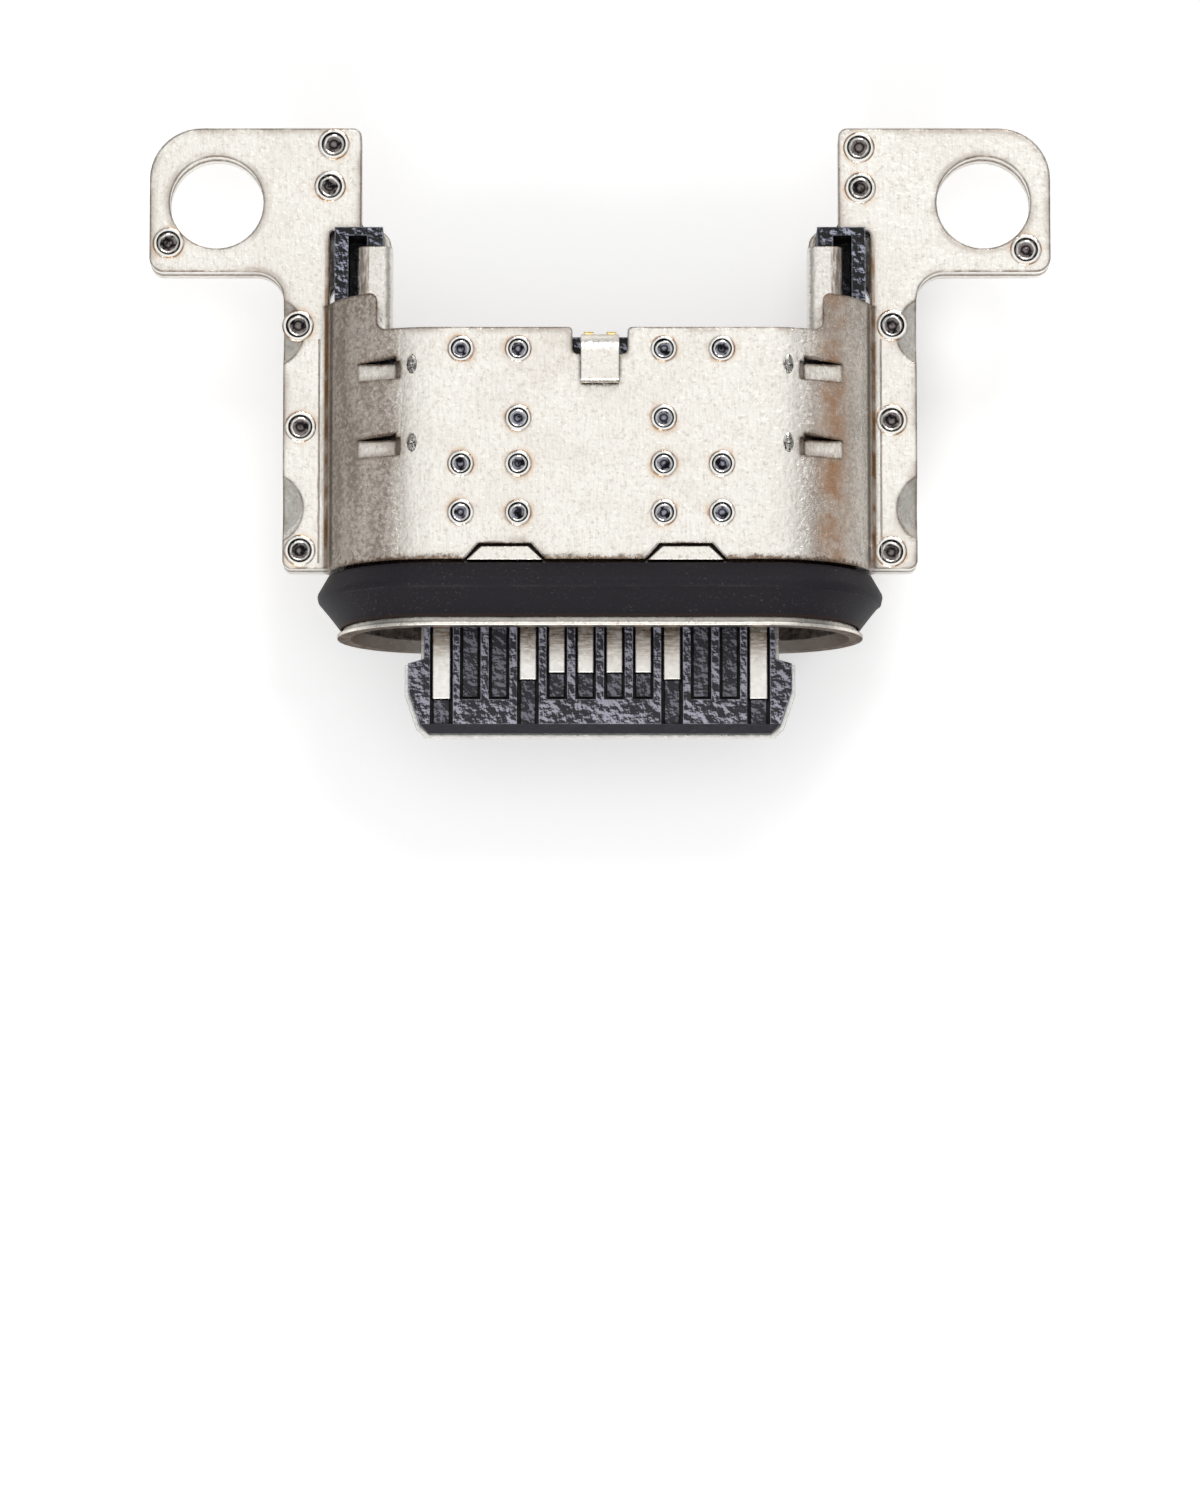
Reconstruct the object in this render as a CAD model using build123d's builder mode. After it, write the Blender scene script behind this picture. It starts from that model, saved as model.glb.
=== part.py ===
from build123d import *
import math
import os

os.makedirs("parts", exist_ok=True)

# Millimetres. X runs across the port, Y runs from the mouth to the rear, Z is up.
# The origin is the centre of the oval mouth, in the plane of its front edge.

# Sheet and clearances
plate = 0.30            # sheet of the two covers
seam = 0.01             # air between sheets that are only spot welded
fit = 0.02              # clearance round moulded and seated pieces

# Mouth and inner shell
mouth_width = 8.34
mouth_height = 2.56
shell_wall = 0.30
shell_rear = 4.20       # rear edge of the shell
lip_length = 0.06
lip_height = 0.10       # how far the mouth lip stands out from the shell
lip_flare = 0.17        # the mouth opens out by this much
hook_width = 0.66
hook_sheet = 0.18
hook_reach = 0.46       # how far the hook lies forward over the cover
crimp_length = 0.24     # how far the crimp tabs stand out behind the shell
crimp_width = 1.56
crimp_slit = 0.03
crimp_step = 0.08       # their front edge lies this much above the face of the shell
crimp_lean = 0.05       # and their rear edge this much more
crimp_break = 0.03      # bevel of both edges
crimp_lead = 0.08       # from the slit in front of the tabs to the rear edge of the shell
crimp_groove = 0.06     # the slit's width
crimp_groove_depth = 0.20
crimp_corner = 0.12     # the outer tabs have a corner cut off
crimp_relief = 0.20     # the shell is cut back this far beside the tabs

# Covers in plan, for the right half; widths are measured from the side of the shell
shell_side = mouth_width / 2 + shell_wall
bend_radius = 0.12      # concave bend between the hat and its flange
cover_front = 1.12
rail_front = 1.20
rail_inner = shell_side + 0.25
rail_outer = rail_inner + 0.80
ear_outer = rail_outer + 2.35
ear_inner = shell_side - 0.30
ear_front = 6.45
ear_rear = 9.00
screw_spacing = 2 * (rail_outer + 1.18)
screw_y = 7.68
screw_radius = 0.82
ear_fillet = 0.50       # inside corner between rail and ear
ear_rear_radius = 0.90
ear_front_radius = 0.25
small_radius = 0.15
edge_radius = 0.08      # the least rounding of a punched corner

upper_inner_end = 7.18  # where the ear of the upper cover ends beside the arm
upper_rear = 5.17       # rear edge of the flat top
upper_tab_rear = 5.83   # rear edge of its curved side tabs
upper_tab_inner = shell_side - 0.62
upper_notch_width = 0.95
upper_notch_front = 4.70

tongue_inner = shell_side - 0.82    # inner tongue of the lower ear, under the housing arm
tongue_front = 6.30
tongue_rear = 7.25
tongue_hole_x = shell_side - 0.23
tongue_hole_y = 6.71
tongue_hole_width = 0.49
tongue_hole_length = 0.75
lower_rear = 4.40
lower_window_y = 4.95   # where the lower side window closes towards the hat
lower_window_radius = 0.30
lower_notch_width = 5.30
lower_notch_front = 3.97
lower_notch_bevel = 0.10    # bevel along its front edge
key_window_width = 1.66
key_window_rear = 2.22

# Front cut-outs of the covers and the shell lugs that fill them
upper_lug_x = (-1.64, 1.48)
lower_lug_x = (1.94, -2.03)
lug_front_width = 1.40
lug_rear_width = 0.90
lug_length = 0.28
lug_gap = 0.05          # air round a lug in its cut-out
lug_drop = 0.08         # the lugs lie this much under the cover's face

# Pressed lugs on the rails, which key the two covers together
rail_key_y = (5.38, 2.26)
rail_key_length = 1.14
rail_key_depth = 0.36
rail_key_press = 0.22
rib_spacing = 0.24      # grooves pressed across the lugs
rib_width = 0.07
rib_depth = 0.07

# Lances pressed into the rounded corners: outer end, inner end and places along the port
lance_length = 0.31
lance_slit = 0.08
lance_skin = 0.05       # sheet left under the inner end
lance_wall = 0.09       # lean of the step at the inner end
upper_lance = (shell_side - 0.28, shell_side - 0.95)
upper_lance_y = (4.44, 3.10)
lower_lance = (shell_side - 0.40, shell_side - 1.50)
lower_lance_y = (3.06,)

# Spot weld pits
pit_radius = 0.17
pit_depth = 0.05
pit_sides = 11
upper_pits = [
    (-2.40, 4.79), (-1.41, 4.79), (1.10, 4.79), (2.10, 4.79),
    (-1.41, 3.58), (1.10, 3.58),
    (-2.40, 2.78), (-1.41, 2.78), (1.10, 2.78), (2.10, 2.78),
    (-2.40, 1.93), (-1.41, 1.93), (1.10, 1.93), (2.10, 1.93),
]
lower_pits = [
    (1.08, 3.35), (-1.35, 3.35),
    (2.03, 2.69), (1.08, 2.69), (-1.35, 2.69), (-2.28, 2.69),
    (2.03, 1.90), (1.08, 1.90), (-1.35, 1.90), (-2.28, 1.90),
]
flange_pit_radius = 0.20
flange_pits = [         # side, distance outwards from the inner edge of the rail, place along it
    (-1, -0.06, 8.73), (-1, 0.00, 7.97), (-1, 2.82, 6.96), (-1, 0.55, 5.49), (-1, 0.50, 3.70),
    (-1, 0.50, 1.52), (1, -0.19, 8.66), (1, -0.17, 7.94), (1, 2.72, 6.84), (1, 0.38, 5.50),
    (1, 0.36, 3.82), (1, 0.34, 1.50),
]

# Seal ring
ring_front = 0.16
ring_rear = 1.06
ring_apex_y = 0.70
ring_apex = 0.40        # how far the crest stands out from the shell
ring_apex_cut = 0.06    # what the rounding takes off the crest
ring_apex_radius = 0.16
ring_front_height = 0.03
ring_rear_height = 0.25
key_width = 1.33
key_rear = 1.85
key_thickness = 0.34
key_corner = 0.30

# Tongue
tongue_width = 6.66
tongue_thickness = 0.70
tongue_tip = -1.68
head_length = 1.21      # from the tip to the latch notches
notch_width = 6.10
notch_length = 0.90
notch_lead = 0.08       # slant at the front of a notch
notch_run = 0.20        # slant at its rear
tip_corner = 0.36       # the corner at the tip takes off this much width
tip_blunt = (0.20, 0.15)    # its steep part, and then its long taper
tip_taper = 0.74
bevel_length = 0.15
bevel_drop = 0.13
mid_sheet = 0.15
mid_overhang = 0.06     # how far the steel edge shows beyond the plastic
mid_rear = 3.90
step_front = 1.85
step_height = 0.92
step_width = 6.70
flange_front = 2.90
insulator_rear = 3.40

# Contacts: name, face, pad x, pad front, pad width, tail x, tail width
contacts = [
    ("contact_a12_ground", 1, 2.75, -1.08, 0.30, 3.48, 0.25),
    ("contact_b1_ground", -1, 2.75, -1.08, 0.30, 3.00, 0.25),
    ("contact_a9_power", 1, 1.25, -0.74, 0.28, 2.27, 0.22),
    ("contact_b4_power", -1, 1.25, -0.74, 0.28, 1.82, 0.25),
    ("contact_b5_channel", -1, 0.75, -0.62, 0.27, 1.40, 0.17),
    ("contact_a8_sideband", 1, 0.75, -0.62, 0.27, 1.00, 0.17),
    ("contact_b6_data", -1, 0.25, -0.62, 0.27, 0.60, 0.19),
    ("contact_a7_data", 1, 0.25, -0.62, 0.27, 0.20, 0.17),
    ("contact_a6_data", 1, -0.25, -0.62, 0.27, -0.20, 0.17),
    ("contact_b7_data", -1, -0.25, -0.62, 0.27, -0.60, 0.17),
    ("contact_a5_channel", 1, -0.75, -0.62, 0.27, -1.00, 0.19),
    ("contact_b8_sideband", -1, -0.75, -0.62, 0.27, -1.40, 0.17),
    ("contact_b9_power", -1, -1.25, -0.74, 0.28, -1.82, 0.25),
    ("contact_a4_power", 1, -1.25, -0.74, 0.28, -2.27, 0.25),
    ("contact_b12_ground", -1, -2.75, -1.08, 0.30, -3.00, 0.25),
    ("contact_a1_ground", 1, -2.75, -1.08, 0.30, -3.48, 0.25),
]
contact_sheet = 0.12
contact_recess = 0.05   # pads lie this much under the face of the tongue
slot_depth = 0.14
slot_gap = 0.05         # air beside a pad in its slot
slot_moat = 0.05        # groove round the raised floor of a slot
slot_floor = 0.06       # that floor lies this much under the face of the tongue
slot_width = 0.36
slot_front = -1.10
long_pad = -0.70        # pads that start ahead of this have slots open to the tip
short_slot_x = (0.25, 0.75, 1.75, 2.25)
slot_rear = 0.30
jog_front = 1.00        # the strips shift sideways between these two
jog_rear = 3.20
tail_level = -0.48      # middle of the tails
tail_rear = 5.53
tail_bend = 0.10
bend_share = 0.49       # a bend takes up less than half of the step it turns
upper_drop_y = 4.75     # where the upper strips turn down
lower_drop_y = 4.10

# Rear housing
comb_rear = 5.12
comb_top = 1.20
comb_skin = 0.12        # plastic under the tails, in front of their open grooves
groove_front = 4.86
arm_inner = shell_side - 0.69
arm_outer = shell_side + 0.15
arm_rear = 7.15
arm_top = 0.78
skirt_bottom = -0.95    # the arm's lower part hangs through the window of the lower cover
skirt_outer = shell_side + 0.08
skirt_rear = 6.00
skirt_corner = 0.32
skirt_chamfer = 0.42
pocket_rear = 7.00
pocket_wall = 0.24      # outer wall of the pocket
pocket_floor = 0.05
socket_y = 5.32         # square socket under each arm
socket_length = 0.43
socket_width = 0.32
frame_margin = 0.10
frame_depth = 0.06

# Ground clips
clip_sheet = 0.15
clip_front = 5.16
clip_rear = 6.77
clip_bend = 0.18
clip_crease = 0.09      # the inner leg's sharper bend
clip_leg = arm_top - 0.03   # how far the inner leg reaches down
prong_length = 0.28
prong_tips = ((5.34, -0.62), (6.62, -0.20))

# Shield pads and sealant
pad_sheet = 0.10
shield_width = 6.40
pad_flange = 1.10
sealant_front = 4.46
sealant_rear = 4.80
sealant_bottom = -1.40
sealant_arc = 1.40      # radius of its hollow face

# Values that follow from those above
shell_width = mouth_width + 2 * shell_wall
shell_height = mouth_height + 2 * shell_wall
shell_radius = shell_height / 2
arc_x = (shell_width - shell_height) / 2
hat_inner = shell_radius + seam
hat_outer = hat_inner + plate
flange_low = seam / 2
flange_top = flange_low + plate
half_tongue = tongue_thickness / 2
half_mid = mid_sheet / 2
long_slots = {(abs(x), width) for name, face, x, front, width, *tail in contacts if front < long_pad}
long_front = tongue_tip + bevel_length
pad_top = half_tongue - contact_recess
tail_low = tail_level - contact_sheet / 2
clip_turn = hat_inner - clip_bend - fit     # the clip's shoulder touches the side tab of the cover
clip_rise = arm_top + fit + clip_sheet - clip_bend
clip_outer = arc_x + clip_bend + math.sqrt(clip_turn**2 - clip_rise**2)
crimp_face = crimp_step - shell_height / 2
crimp_front = shell_rear - crimp_lead
crimp_rear = shell_rear + crimp_length
crimp_half = 1.5 * crimp_width + crimp_slit
key_radius = (rail_key_depth**2 + rail_key_length**2 / 4) / (2 * rail_key_depth)
scoop_x = key_radius - rail_key_depth       # the scoop over a rail lug is part of a sphere
scoop_z = (key_radius**2 - scoop_x**2 - rail_key_press**2) / (2 * rail_key_press)
flange_places = [(hand * (rail_inner + out), y) for hand, out, y in flange_pits]


def oval(extra=0.0, mode=Mode.ADD):
    # Oval outline of the shell, grown or shrunk by extra all round
    SlotOverall(shell_width + 2 * extra, shell_height + 2 * extra, mode=mode)


def at_y(y):
    # Upright plane across the port, facing the mouth
    return Plane.XZ.offset(-y)


def hat_blank(side, hat_rear):
    # Hat section of a cover, flat behind hat_rear: side is 1 for the upper one, -1 for the lower
    bend_z = flange_top + bend_radius
    reach = hat_outer + bend_radius
    bend_x = arc_x + math.sqrt(reach**2 - bend_z**2)
    turn = math.degrees(math.asin(bend_z / reach))
    with BuildSketch(at_y(hat_rear)) as section:
        with BuildLine():
            Line((0, side * hat_outer), (arc_x, side * hat_outer))
            CenterArc((arc_x, 0), hat_outer, side * 90, side * (turn - 90))
            CenterArc((bend_x, side * bend_z), bend_radius, side * (turn + 180), side * (90 - turn))
            Polyline(
                (bend_x, side * flange_top), (ear_outer, side * flange_top),
                (ear_outer, side * flange_low), (bend_x, side * flange_low),
            )
            CenterArc(
                (bend_x, side * bend_z), bend_radius + plate,
                side * (turn + 180), side * (90 - turn),
            )
            CenterArc((arc_x, 0), hat_inner, side * 90, side * (turn - 90))
            Line((arc_x, side * hat_inner), (0, side * hat_inner))
            mirror(about=Plane.YZ)
        make_face()
    extrude(section.sketch, amount=hat_rear - cover_front)
    with BuildSketch(Plane.XY.offset(side * flange_low)) as sheet:
        with Locations((0, hat_rear)):
            Rectangle(2 * ear_outer, ear_rear - hat_rear, align=(Align.CENTER, Align.MIN))
    extrude(sheet.sketch, amount=side * plate)


def front_lug(x, grow=0.0, mode=Mode.ADD):
    # Trapezoid that widens towards the mouth
    front = cover_front
    rear = cover_front + lug_length + grow
    wide = lug_front_width / 2 + grow
    narrow = lug_rear_width / 2 + grow
    corners = [(x - wide, front), (x + wide, front), (x + narrow, rear), (x - narrow, rear)]
    Polygon(*corners, align=None, mode=mode)


def lances(side, places, outer, inner):
    # Nearly level flats pressed into both rounded corners, each with a slit behind it
    outer_level = math.sqrt(hat_outer**2 - (outer - arc_x)**2)
    inner_level = math.sqrt(hat_inner**2 - (inner - arc_x)**2) + lance_skin
    for y in places:
        rear = y + lance_length / 2
        with BuildSketch(at_y(rear)) as flat:
            Polygon(
                (outer, side * outer_level), (inner, side * inner_level),
                (inner - lance_wall, side * hat_outer), (outer, side * hat_outer),
                align=None,
            )
            mirror(about=Plane.YZ)
        extrude(flat.sketch, amount=lance_length, mode=Mode.SUBTRACT)
        with BuildSketch(Plane.XY) as slit:
            Polygon(
                (outer, rear), (inner, rear), (inner, rear + lance_slit), (outer, rear + fit / 2),
                align=None,
            )
            mirror(about=Plane.YZ)
        extrude(slit.sketch, amount=side * hat_outer, mode=Mode.SUBTRACT)


def weld_pits(places, level, radius):
    # Shallow pits of the spot welds in the face at this level, above or below the seam
    with BuildSketch(Plane.XY.offset(level)) as rings:
        with Locations(places):
            RegularPolygon(radius, pit_sides)
    extrude(rings.sketch, amount=-math.copysign(pit_depth, level), mode=Mode.SUBTRACT)


def rail_key(x_side, y):
    # Half-moon at the outer edge of a rail
    with Locations((x_side * (rail_outer + key_radius - rail_key_depth), y)):
        Circle(key_radius - fit)


# Upper cover
with BuildPart() as upper_cover:
    hat_blank(1, upper_tab_rear)
    with BuildSketch() as upper_plan:
        with BuildLine():
            FilletPolyline(
                (0, cover_front), (rail_inner, cover_front), (rail_inner, rail_front),
                (rail_outer, rail_front), (rail_outer, ear_front), (ear_outer, ear_front),
                (ear_outer, ear_rear), (ear_inner, ear_rear), (ear_inner, upper_inner_end),
                (rail_inner, upper_inner_end), (rail_inner, upper_tab_rear),
                (upper_tab_inner, upper_tab_rear), (upper_tab_inner, upper_rear),
                (upper_notch_width / 2, upper_rear), (upper_notch_width / 2, upper_notch_front),
                (0, upper_notch_front),
                radius=[
                    0, 0, small_radius, ear_fillet, ear_front_radius, ear_rear_radius, small_radius,
                    edge_radius, edge_radius, 0, small_radius, small_radius, edge_radius, edge_radius,
                ],
            )
            mirror(about=Plane.YZ)
        make_face()
        for x in upper_lug_x:
            front_lug(x, mode=Mode.SUBTRACT)
        with Locations((-screw_spacing / 2, screw_y), (screw_spacing / 2, screw_y)):
            Circle(screw_radius, mode=Mode.SUBTRACT)
    extrude(amount=hat_outer, mode=Mode.INTERSECT)
    lances(1, upper_lance_y, *upper_lance)
    weld_pits(upper_pits, hat_outer, pit_radius)
    weld_pits(flange_places, flange_top, flange_pit_radius)
    for hand in (1, -1):
        for y in rail_key_y:
            with BuildSketch(Plane.XY.offset(flange_low)):
                rail_key(hand, y)
                with Locations((hand * (rail_outer - rail_key_depth), y)):
                    Rectangle(2 * rail_key_depth, 2 * rail_key_length, mode=Mode.INTERSECT)
            extrude(amount=-rail_key_press)
            with Locations((hand * (rail_outer + scoop_x), y, flange_top + scoop_z)):
                Sphere(math.hypot(key_radius, scoop_z), mode=Mode.SUBTRACT)
            with BuildSketch(Plane.XY.offset(flange_low - rail_key_press)):
                with Locations((hand * rail_outer, y)):
                    with GridLocations(1, rib_spacing, 1, 3):
                        Rectangle(2 * rail_key_depth, rib_width)
            extrude(amount=rib_depth, mode=Mode.SUBTRACT)
upper_cover.part.label = "upper_cover"

# Lower cover
with BuildPart() as lower_cover:
    hat_blank(-1, lower_window_y)
    with BuildSketch() as lower_plan:
        with BuildLine():
            FilletPolyline(
                (0, cover_front), (rail_inner, cover_front), (rail_inner, rail_front),
                (rail_outer, rail_front), (rail_outer, ear_front), (ear_outer, ear_front),
                (ear_outer, ear_rear), (ear_inner, ear_rear), (ear_inner, tongue_rear),
                (tongue_inner, tongue_rear), (tongue_inner, tongue_front),
                (rail_inner, tongue_front), (rail_inner, lower_window_y),
                (rail_inner - lower_window_radius / 2, lower_rear),
                (lower_notch_width / 2, lower_rear), (lower_notch_width / 2, lower_notch_front),
                (0, lower_notch_front),
                radius=[
                    0, 0, small_radius, ear_fillet, ear_front_radius, ear_rear_radius, small_radius,
                    small_radius, lower_window_radius, edge_radius, lower_window_radius,
                    lower_window_radius, edge_radius, small_radius, edge_radius,
                ],
            )
            mirror(about=Plane.YZ)
        make_face()
        for x in lower_lug_x:
            front_lug(x, mode=Mode.SUBTRACT)
        with Locations((-screw_spacing / 2, screw_y), (screw_spacing / 2, screw_y)):
            Circle(screw_radius, mode=Mode.SUBTRACT)
        with Locations((-tongue_hole_x, tongue_hole_y), (tongue_hole_x, tongue_hole_y)):
            RectangleRounded(tongue_hole_width, tongue_hole_length, small_radius, mode=Mode.SUBTRACT)
        with Locations((0, key_window_rear)):
            Rectangle(
                key_window_width, 2 * (key_window_rear - cover_front),
                align=(Align.CENTER, Align.MAX), mode=Mode.SUBTRACT,
            )
        for hand in (1, -1):
            for y in rail_key_y:
                with Locations((hand * rail_outer, y)):
                    Rectangle(
                        2 * (rail_key_depth + fit), rail_key_length + 2 * fit, mode=Mode.SUBTRACT,
                    )
    extrude(amount=-hat_outer, mode=Mode.INTERSECT)
    lances(-1, lower_lance_y, *lower_lance)
    weld_pits(lower_pits, -hat_outer, pit_radius)
    with BuildSketch(Plane.YZ.offset(-lower_notch_width / 2 + small_radius)):
        Polygon(
            (lower_notch_front - lower_notch_bevel, -hat_outer),
            (lower_notch_front + fit, -hat_outer),
            (lower_notch_front + fit, -hat_outer + lower_notch_bevel + fit),
            align=None,
        )
    extrude(amount=lower_notch_width - 2 * small_radius, mode=Mode.SUBTRACT)
lower_cover.part.label = "lower_cover"

# Inner shell: oval tube with a mouth lip, a rear rib, lugs, a hook and crimp tabs
with BuildPart() as inner_shell:
    with BuildSketch(at_y(shell_rear)):
        oval()
    extrude(amount=shell_rear)
    with BuildSketch(at_y(lip_length)):
        oval(lip_height)
    extrude(amount=lip_length)
    for side, places in ((1, upper_lug_x), (-1, lower_lug_x)):
        with BuildSketch(Plane.XY.offset(side * (shell_radius - shell_wall / 2))):
            for x in places:
                front_lug(x, -lug_gap)
        extrude(amount=side * (shell_wall / 2 + seam + plate - lug_drop))
    with BuildSketch(at_y(shell_rear)):
        oval(-shell_wall)
    extrude(amount=shell_rear, mode=Mode.SUBTRACT)
    front_edges = inner_shell.edges().group_by(Axis.Y)[0]
    mouth_edges = front_edges.filter_by(
        lambda edge: abs(edge.center().X) < shell_side - fit and abs(edge.center().Z) < shell_radius - fit
    )
    chamfer(mouth_edges, length=lip_flare)
    with BuildSketch(Plane.XY.offset(-shell_radius)):
        with Locations((0, shell_rear)):
            Rectangle(2 * crimp_half, 2 * crimp_lead)
    extrude(amount=crimp_groove_depth, mode=Mode.SUBTRACT)
    with BuildSketch(Plane.XY.offset(-shell_radius)):
        for hand in (-1, 1):
            with Locations((hand * (crimp_half + lower_notch_width / 2) / 2, shell_rear)):
                Rectangle(lower_notch_width / 2 - crimp_half, 2 * crimp_relief)
    extrude(amount=shell_wall, mode=Mode.SUBTRACT)
    with BuildPart(mode=Mode.PRIVATE) as crimp:
        with BuildSketch(Plane.YZ.offset(-crimp_half)):
            Polygon(
                (crimp_front + crimp_groove, crimp_face + crimp_break),
                (crimp_front + crimp_groove + crimp_break, crimp_face),
                (crimp_rear - crimp_break, crimp_face + crimp_lean),
                (crimp_rear, crimp_face + crimp_lean + crimp_break),
                (crimp_rear, shell_wall - shell_radius), (crimp_front, shell_wall - shell_radius),
                (crimp_front, crimp_groove_depth - shell_radius),
                (crimp_front + crimp_groove, crimp_groove_depth - shell_radius),
                align=None,
            )
        extrude(amount=2 * crimp_half)
        with BuildSketch(Plane.XY.offset(-shell_radius)):
            for hand in (-1, 1):
                with Locations((hand * (crimp_width + crimp_slit) / 2, crimp_rear)):
                    Rectangle(crimp_slit, 2 * (crimp_rear - crimp_front - crimp_groove))
                with Locations((hand * crimp_half, crimp_rear)):
                    Rectangle(2 * crimp_corner, 2 * crimp_corner, rotation=45)
        extrude(amount=shell_wall, mode=Mode.SUBTRACT)
    add(crimp.part)
    hook_low = shell_radius - hook_sheet
    hook_turn = shell_radius + seam + plate / 2
    hook_radius = hook_turn - shell_radius + hook_sheet / 2
    hook_top = hook_turn + hook_radius
    hook_y = upper_notch_front + fit
    with BuildSketch(Plane.YZ.offset(-hook_width / 2)):
        with BuildLine():
            hook_path = Polyline(
                (shell_rear - shell_wall, hook_turn - hook_radius), (hook_y, hook_turn - hook_radius),
            )
            CenterArc((hook_y, hook_turn), hook_radius, -90, 180)
            Line((hook_y, hook_top), (hook_y - hook_reach, hook_top))
            offset(amount=hook_sheet / 2)
        make_face()
    extrude(amount=hook_width)
inner_shell.part.label = "inner_shell"

# Seal ring: rubber lip round the shell between its lip and its rib, keyed underneath
with BuildPart() as seal_ring:
    with BuildLine(at_y(ring_front)) as ring_path:
        seat = shell_radius + fit
        Line((0, seat), (arc_x, seat))
        CenterArc((arc_x, 0), seat, 90, -180)
        Line((arc_x, -seat), (-arc_x, -seat))
        CenterArc((-arc_x, 0), seat, 270, -180)
        Line((-arc_x, seat), (0, seat))
    with BuildSketch(Plane.YZ):
        with BuildLine():
            FilletPolyline(
                (ring_front, seat), (ring_front, seat + ring_front_height),
                (ring_apex_y, seat + ring_apex + ring_apex_cut),
                (ring_rear, seat + ring_rear_height), (ring_rear, seat),
                radius=[0, ring_apex_radius, 0],
            )
            Line((ring_rear, seat), (ring_front, seat))
        make_face()
    sweep(path=ring_path.wires()[0])
    with BuildSketch(Plane.XY.offset(-seat)):
        with BuildLine():
            FilletPolyline(
                (-key_width / 2, ring_rear - fit), (-key_width / 2, key_rear),
                (key_width / 2, key_rear), (key_width / 2, ring_rear - fit),
                radius=key_corner,
            )
            Line((key_width / 2, ring_rear - fit), (-key_width / 2, ring_rear - fit))
        make_face()
    extrude(amount=-key_thickness)
seal_ring.part.label = "seal_ring"


def strip_plan(face, pad_x, pad_front, pad_width, tail_x, tail_width, grow):
    # Flat of one contact: pad, sideways jog and the run back to its bend
    drop = upper_drop_y if face > 0 else lower_drop_y
    half_pad = pad_width / 2 + grow
    half_tail = tail_width / 2 + grow
    Polygon(
        (pad_x - half_pad, pad_front - grow), (pad_x + half_pad, pad_front - grow),
        (pad_x + half_pad, jog_front), (tail_x + half_tail, jog_rear),
        (tail_x + half_tail, drop), (tail_x - half_tail, drop),
        (tail_x - half_tail, jog_rear), (pad_x - half_pad, jog_front),
        align=None,
    )


def contact_solid(face, pad_x, pad_front, pad_width, tail_x, tail_width, grow=0.0):
    # One contact, or with grow the channel that it lies in
    drop = upper_drop_y if face > 0 else lower_drop_y
    pad_level = face * (pad_top - contact_sheet / 2)
    turn = min(tail_bend, abs(pad_level - tail_level) * bend_share)
    lean = 0 if face > 0 else abs(pad_level - tail_level)
    half = contact_sheet / 2 + grow
    with BuildPart(mode=Mode.PRIVATE) as strip:
        with BuildSketch(Plane.XY.offset(pad_level - half)) as flat:
            strip_plan(face, pad_x, pad_front, pad_width, tail_x, tail_width, grow)
        extrude(flat.sketch, amount=2 * half)
        with BuildSketch(Plane.YZ.offset(tail_x - tail_width / 2 - grow)) as bend:
            with BuildLine():
                FilletPolyline(
                    (drop - contact_sheet, pad_level), (drop, pad_level),
                    (drop + lean, tail_level), (tail_rear - contact_sheet / 2, tail_level),
                    radius=turn,
                )
                offset(amount=half, kind=Kind.INTERSECTION)
            make_face()
        extrude(bend.sketch, amount=tail_width + 2 * grow)
    return strip.part


# Sixteen contacts, eight for each face of the tongue
strips = {}
for name, *shape in contacts:
    with BuildPart() as contact:
        add(contact_solid(*shape))
    contact.part.label = name
    strips[name] = contact.part
channels = [contact_solid(*shape, grow=fit) for name, *shape in contacts]
upper_channels = [c for c, shape in zip(channels, contacts) if shape[1] > 0]
lower_channels = [c for c, shape in zip(channels, contacts) if shape[1] < 0]


def tongue_plan(overhang=0.0):
    # Half outline of the tongue, mirrored: blunt tip, long taper, head, latch notch, root
    half = tongue_width / 2 + overhang
    notch = notch_width / 2 + overhang
    tip = tongue_tip - overhang
    head_rear = tongue_tip + head_length
    notch_rear = head_rear + notch_length
    with BuildLine() as edge:
        Polyline(
            (0, tip), (half - tip_corner, tip), (half - tip_blunt[0], tip + tip_blunt[1]),
            (half, tip + tip_taper), (half, head_rear), (notch, head_rear + notch_lead),
            (notch, notch_rear), (half, notch_rear + notch_run), (half, insulator_rear),
            (0, insulator_rear), (0, tip),
        )
    return edge


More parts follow.
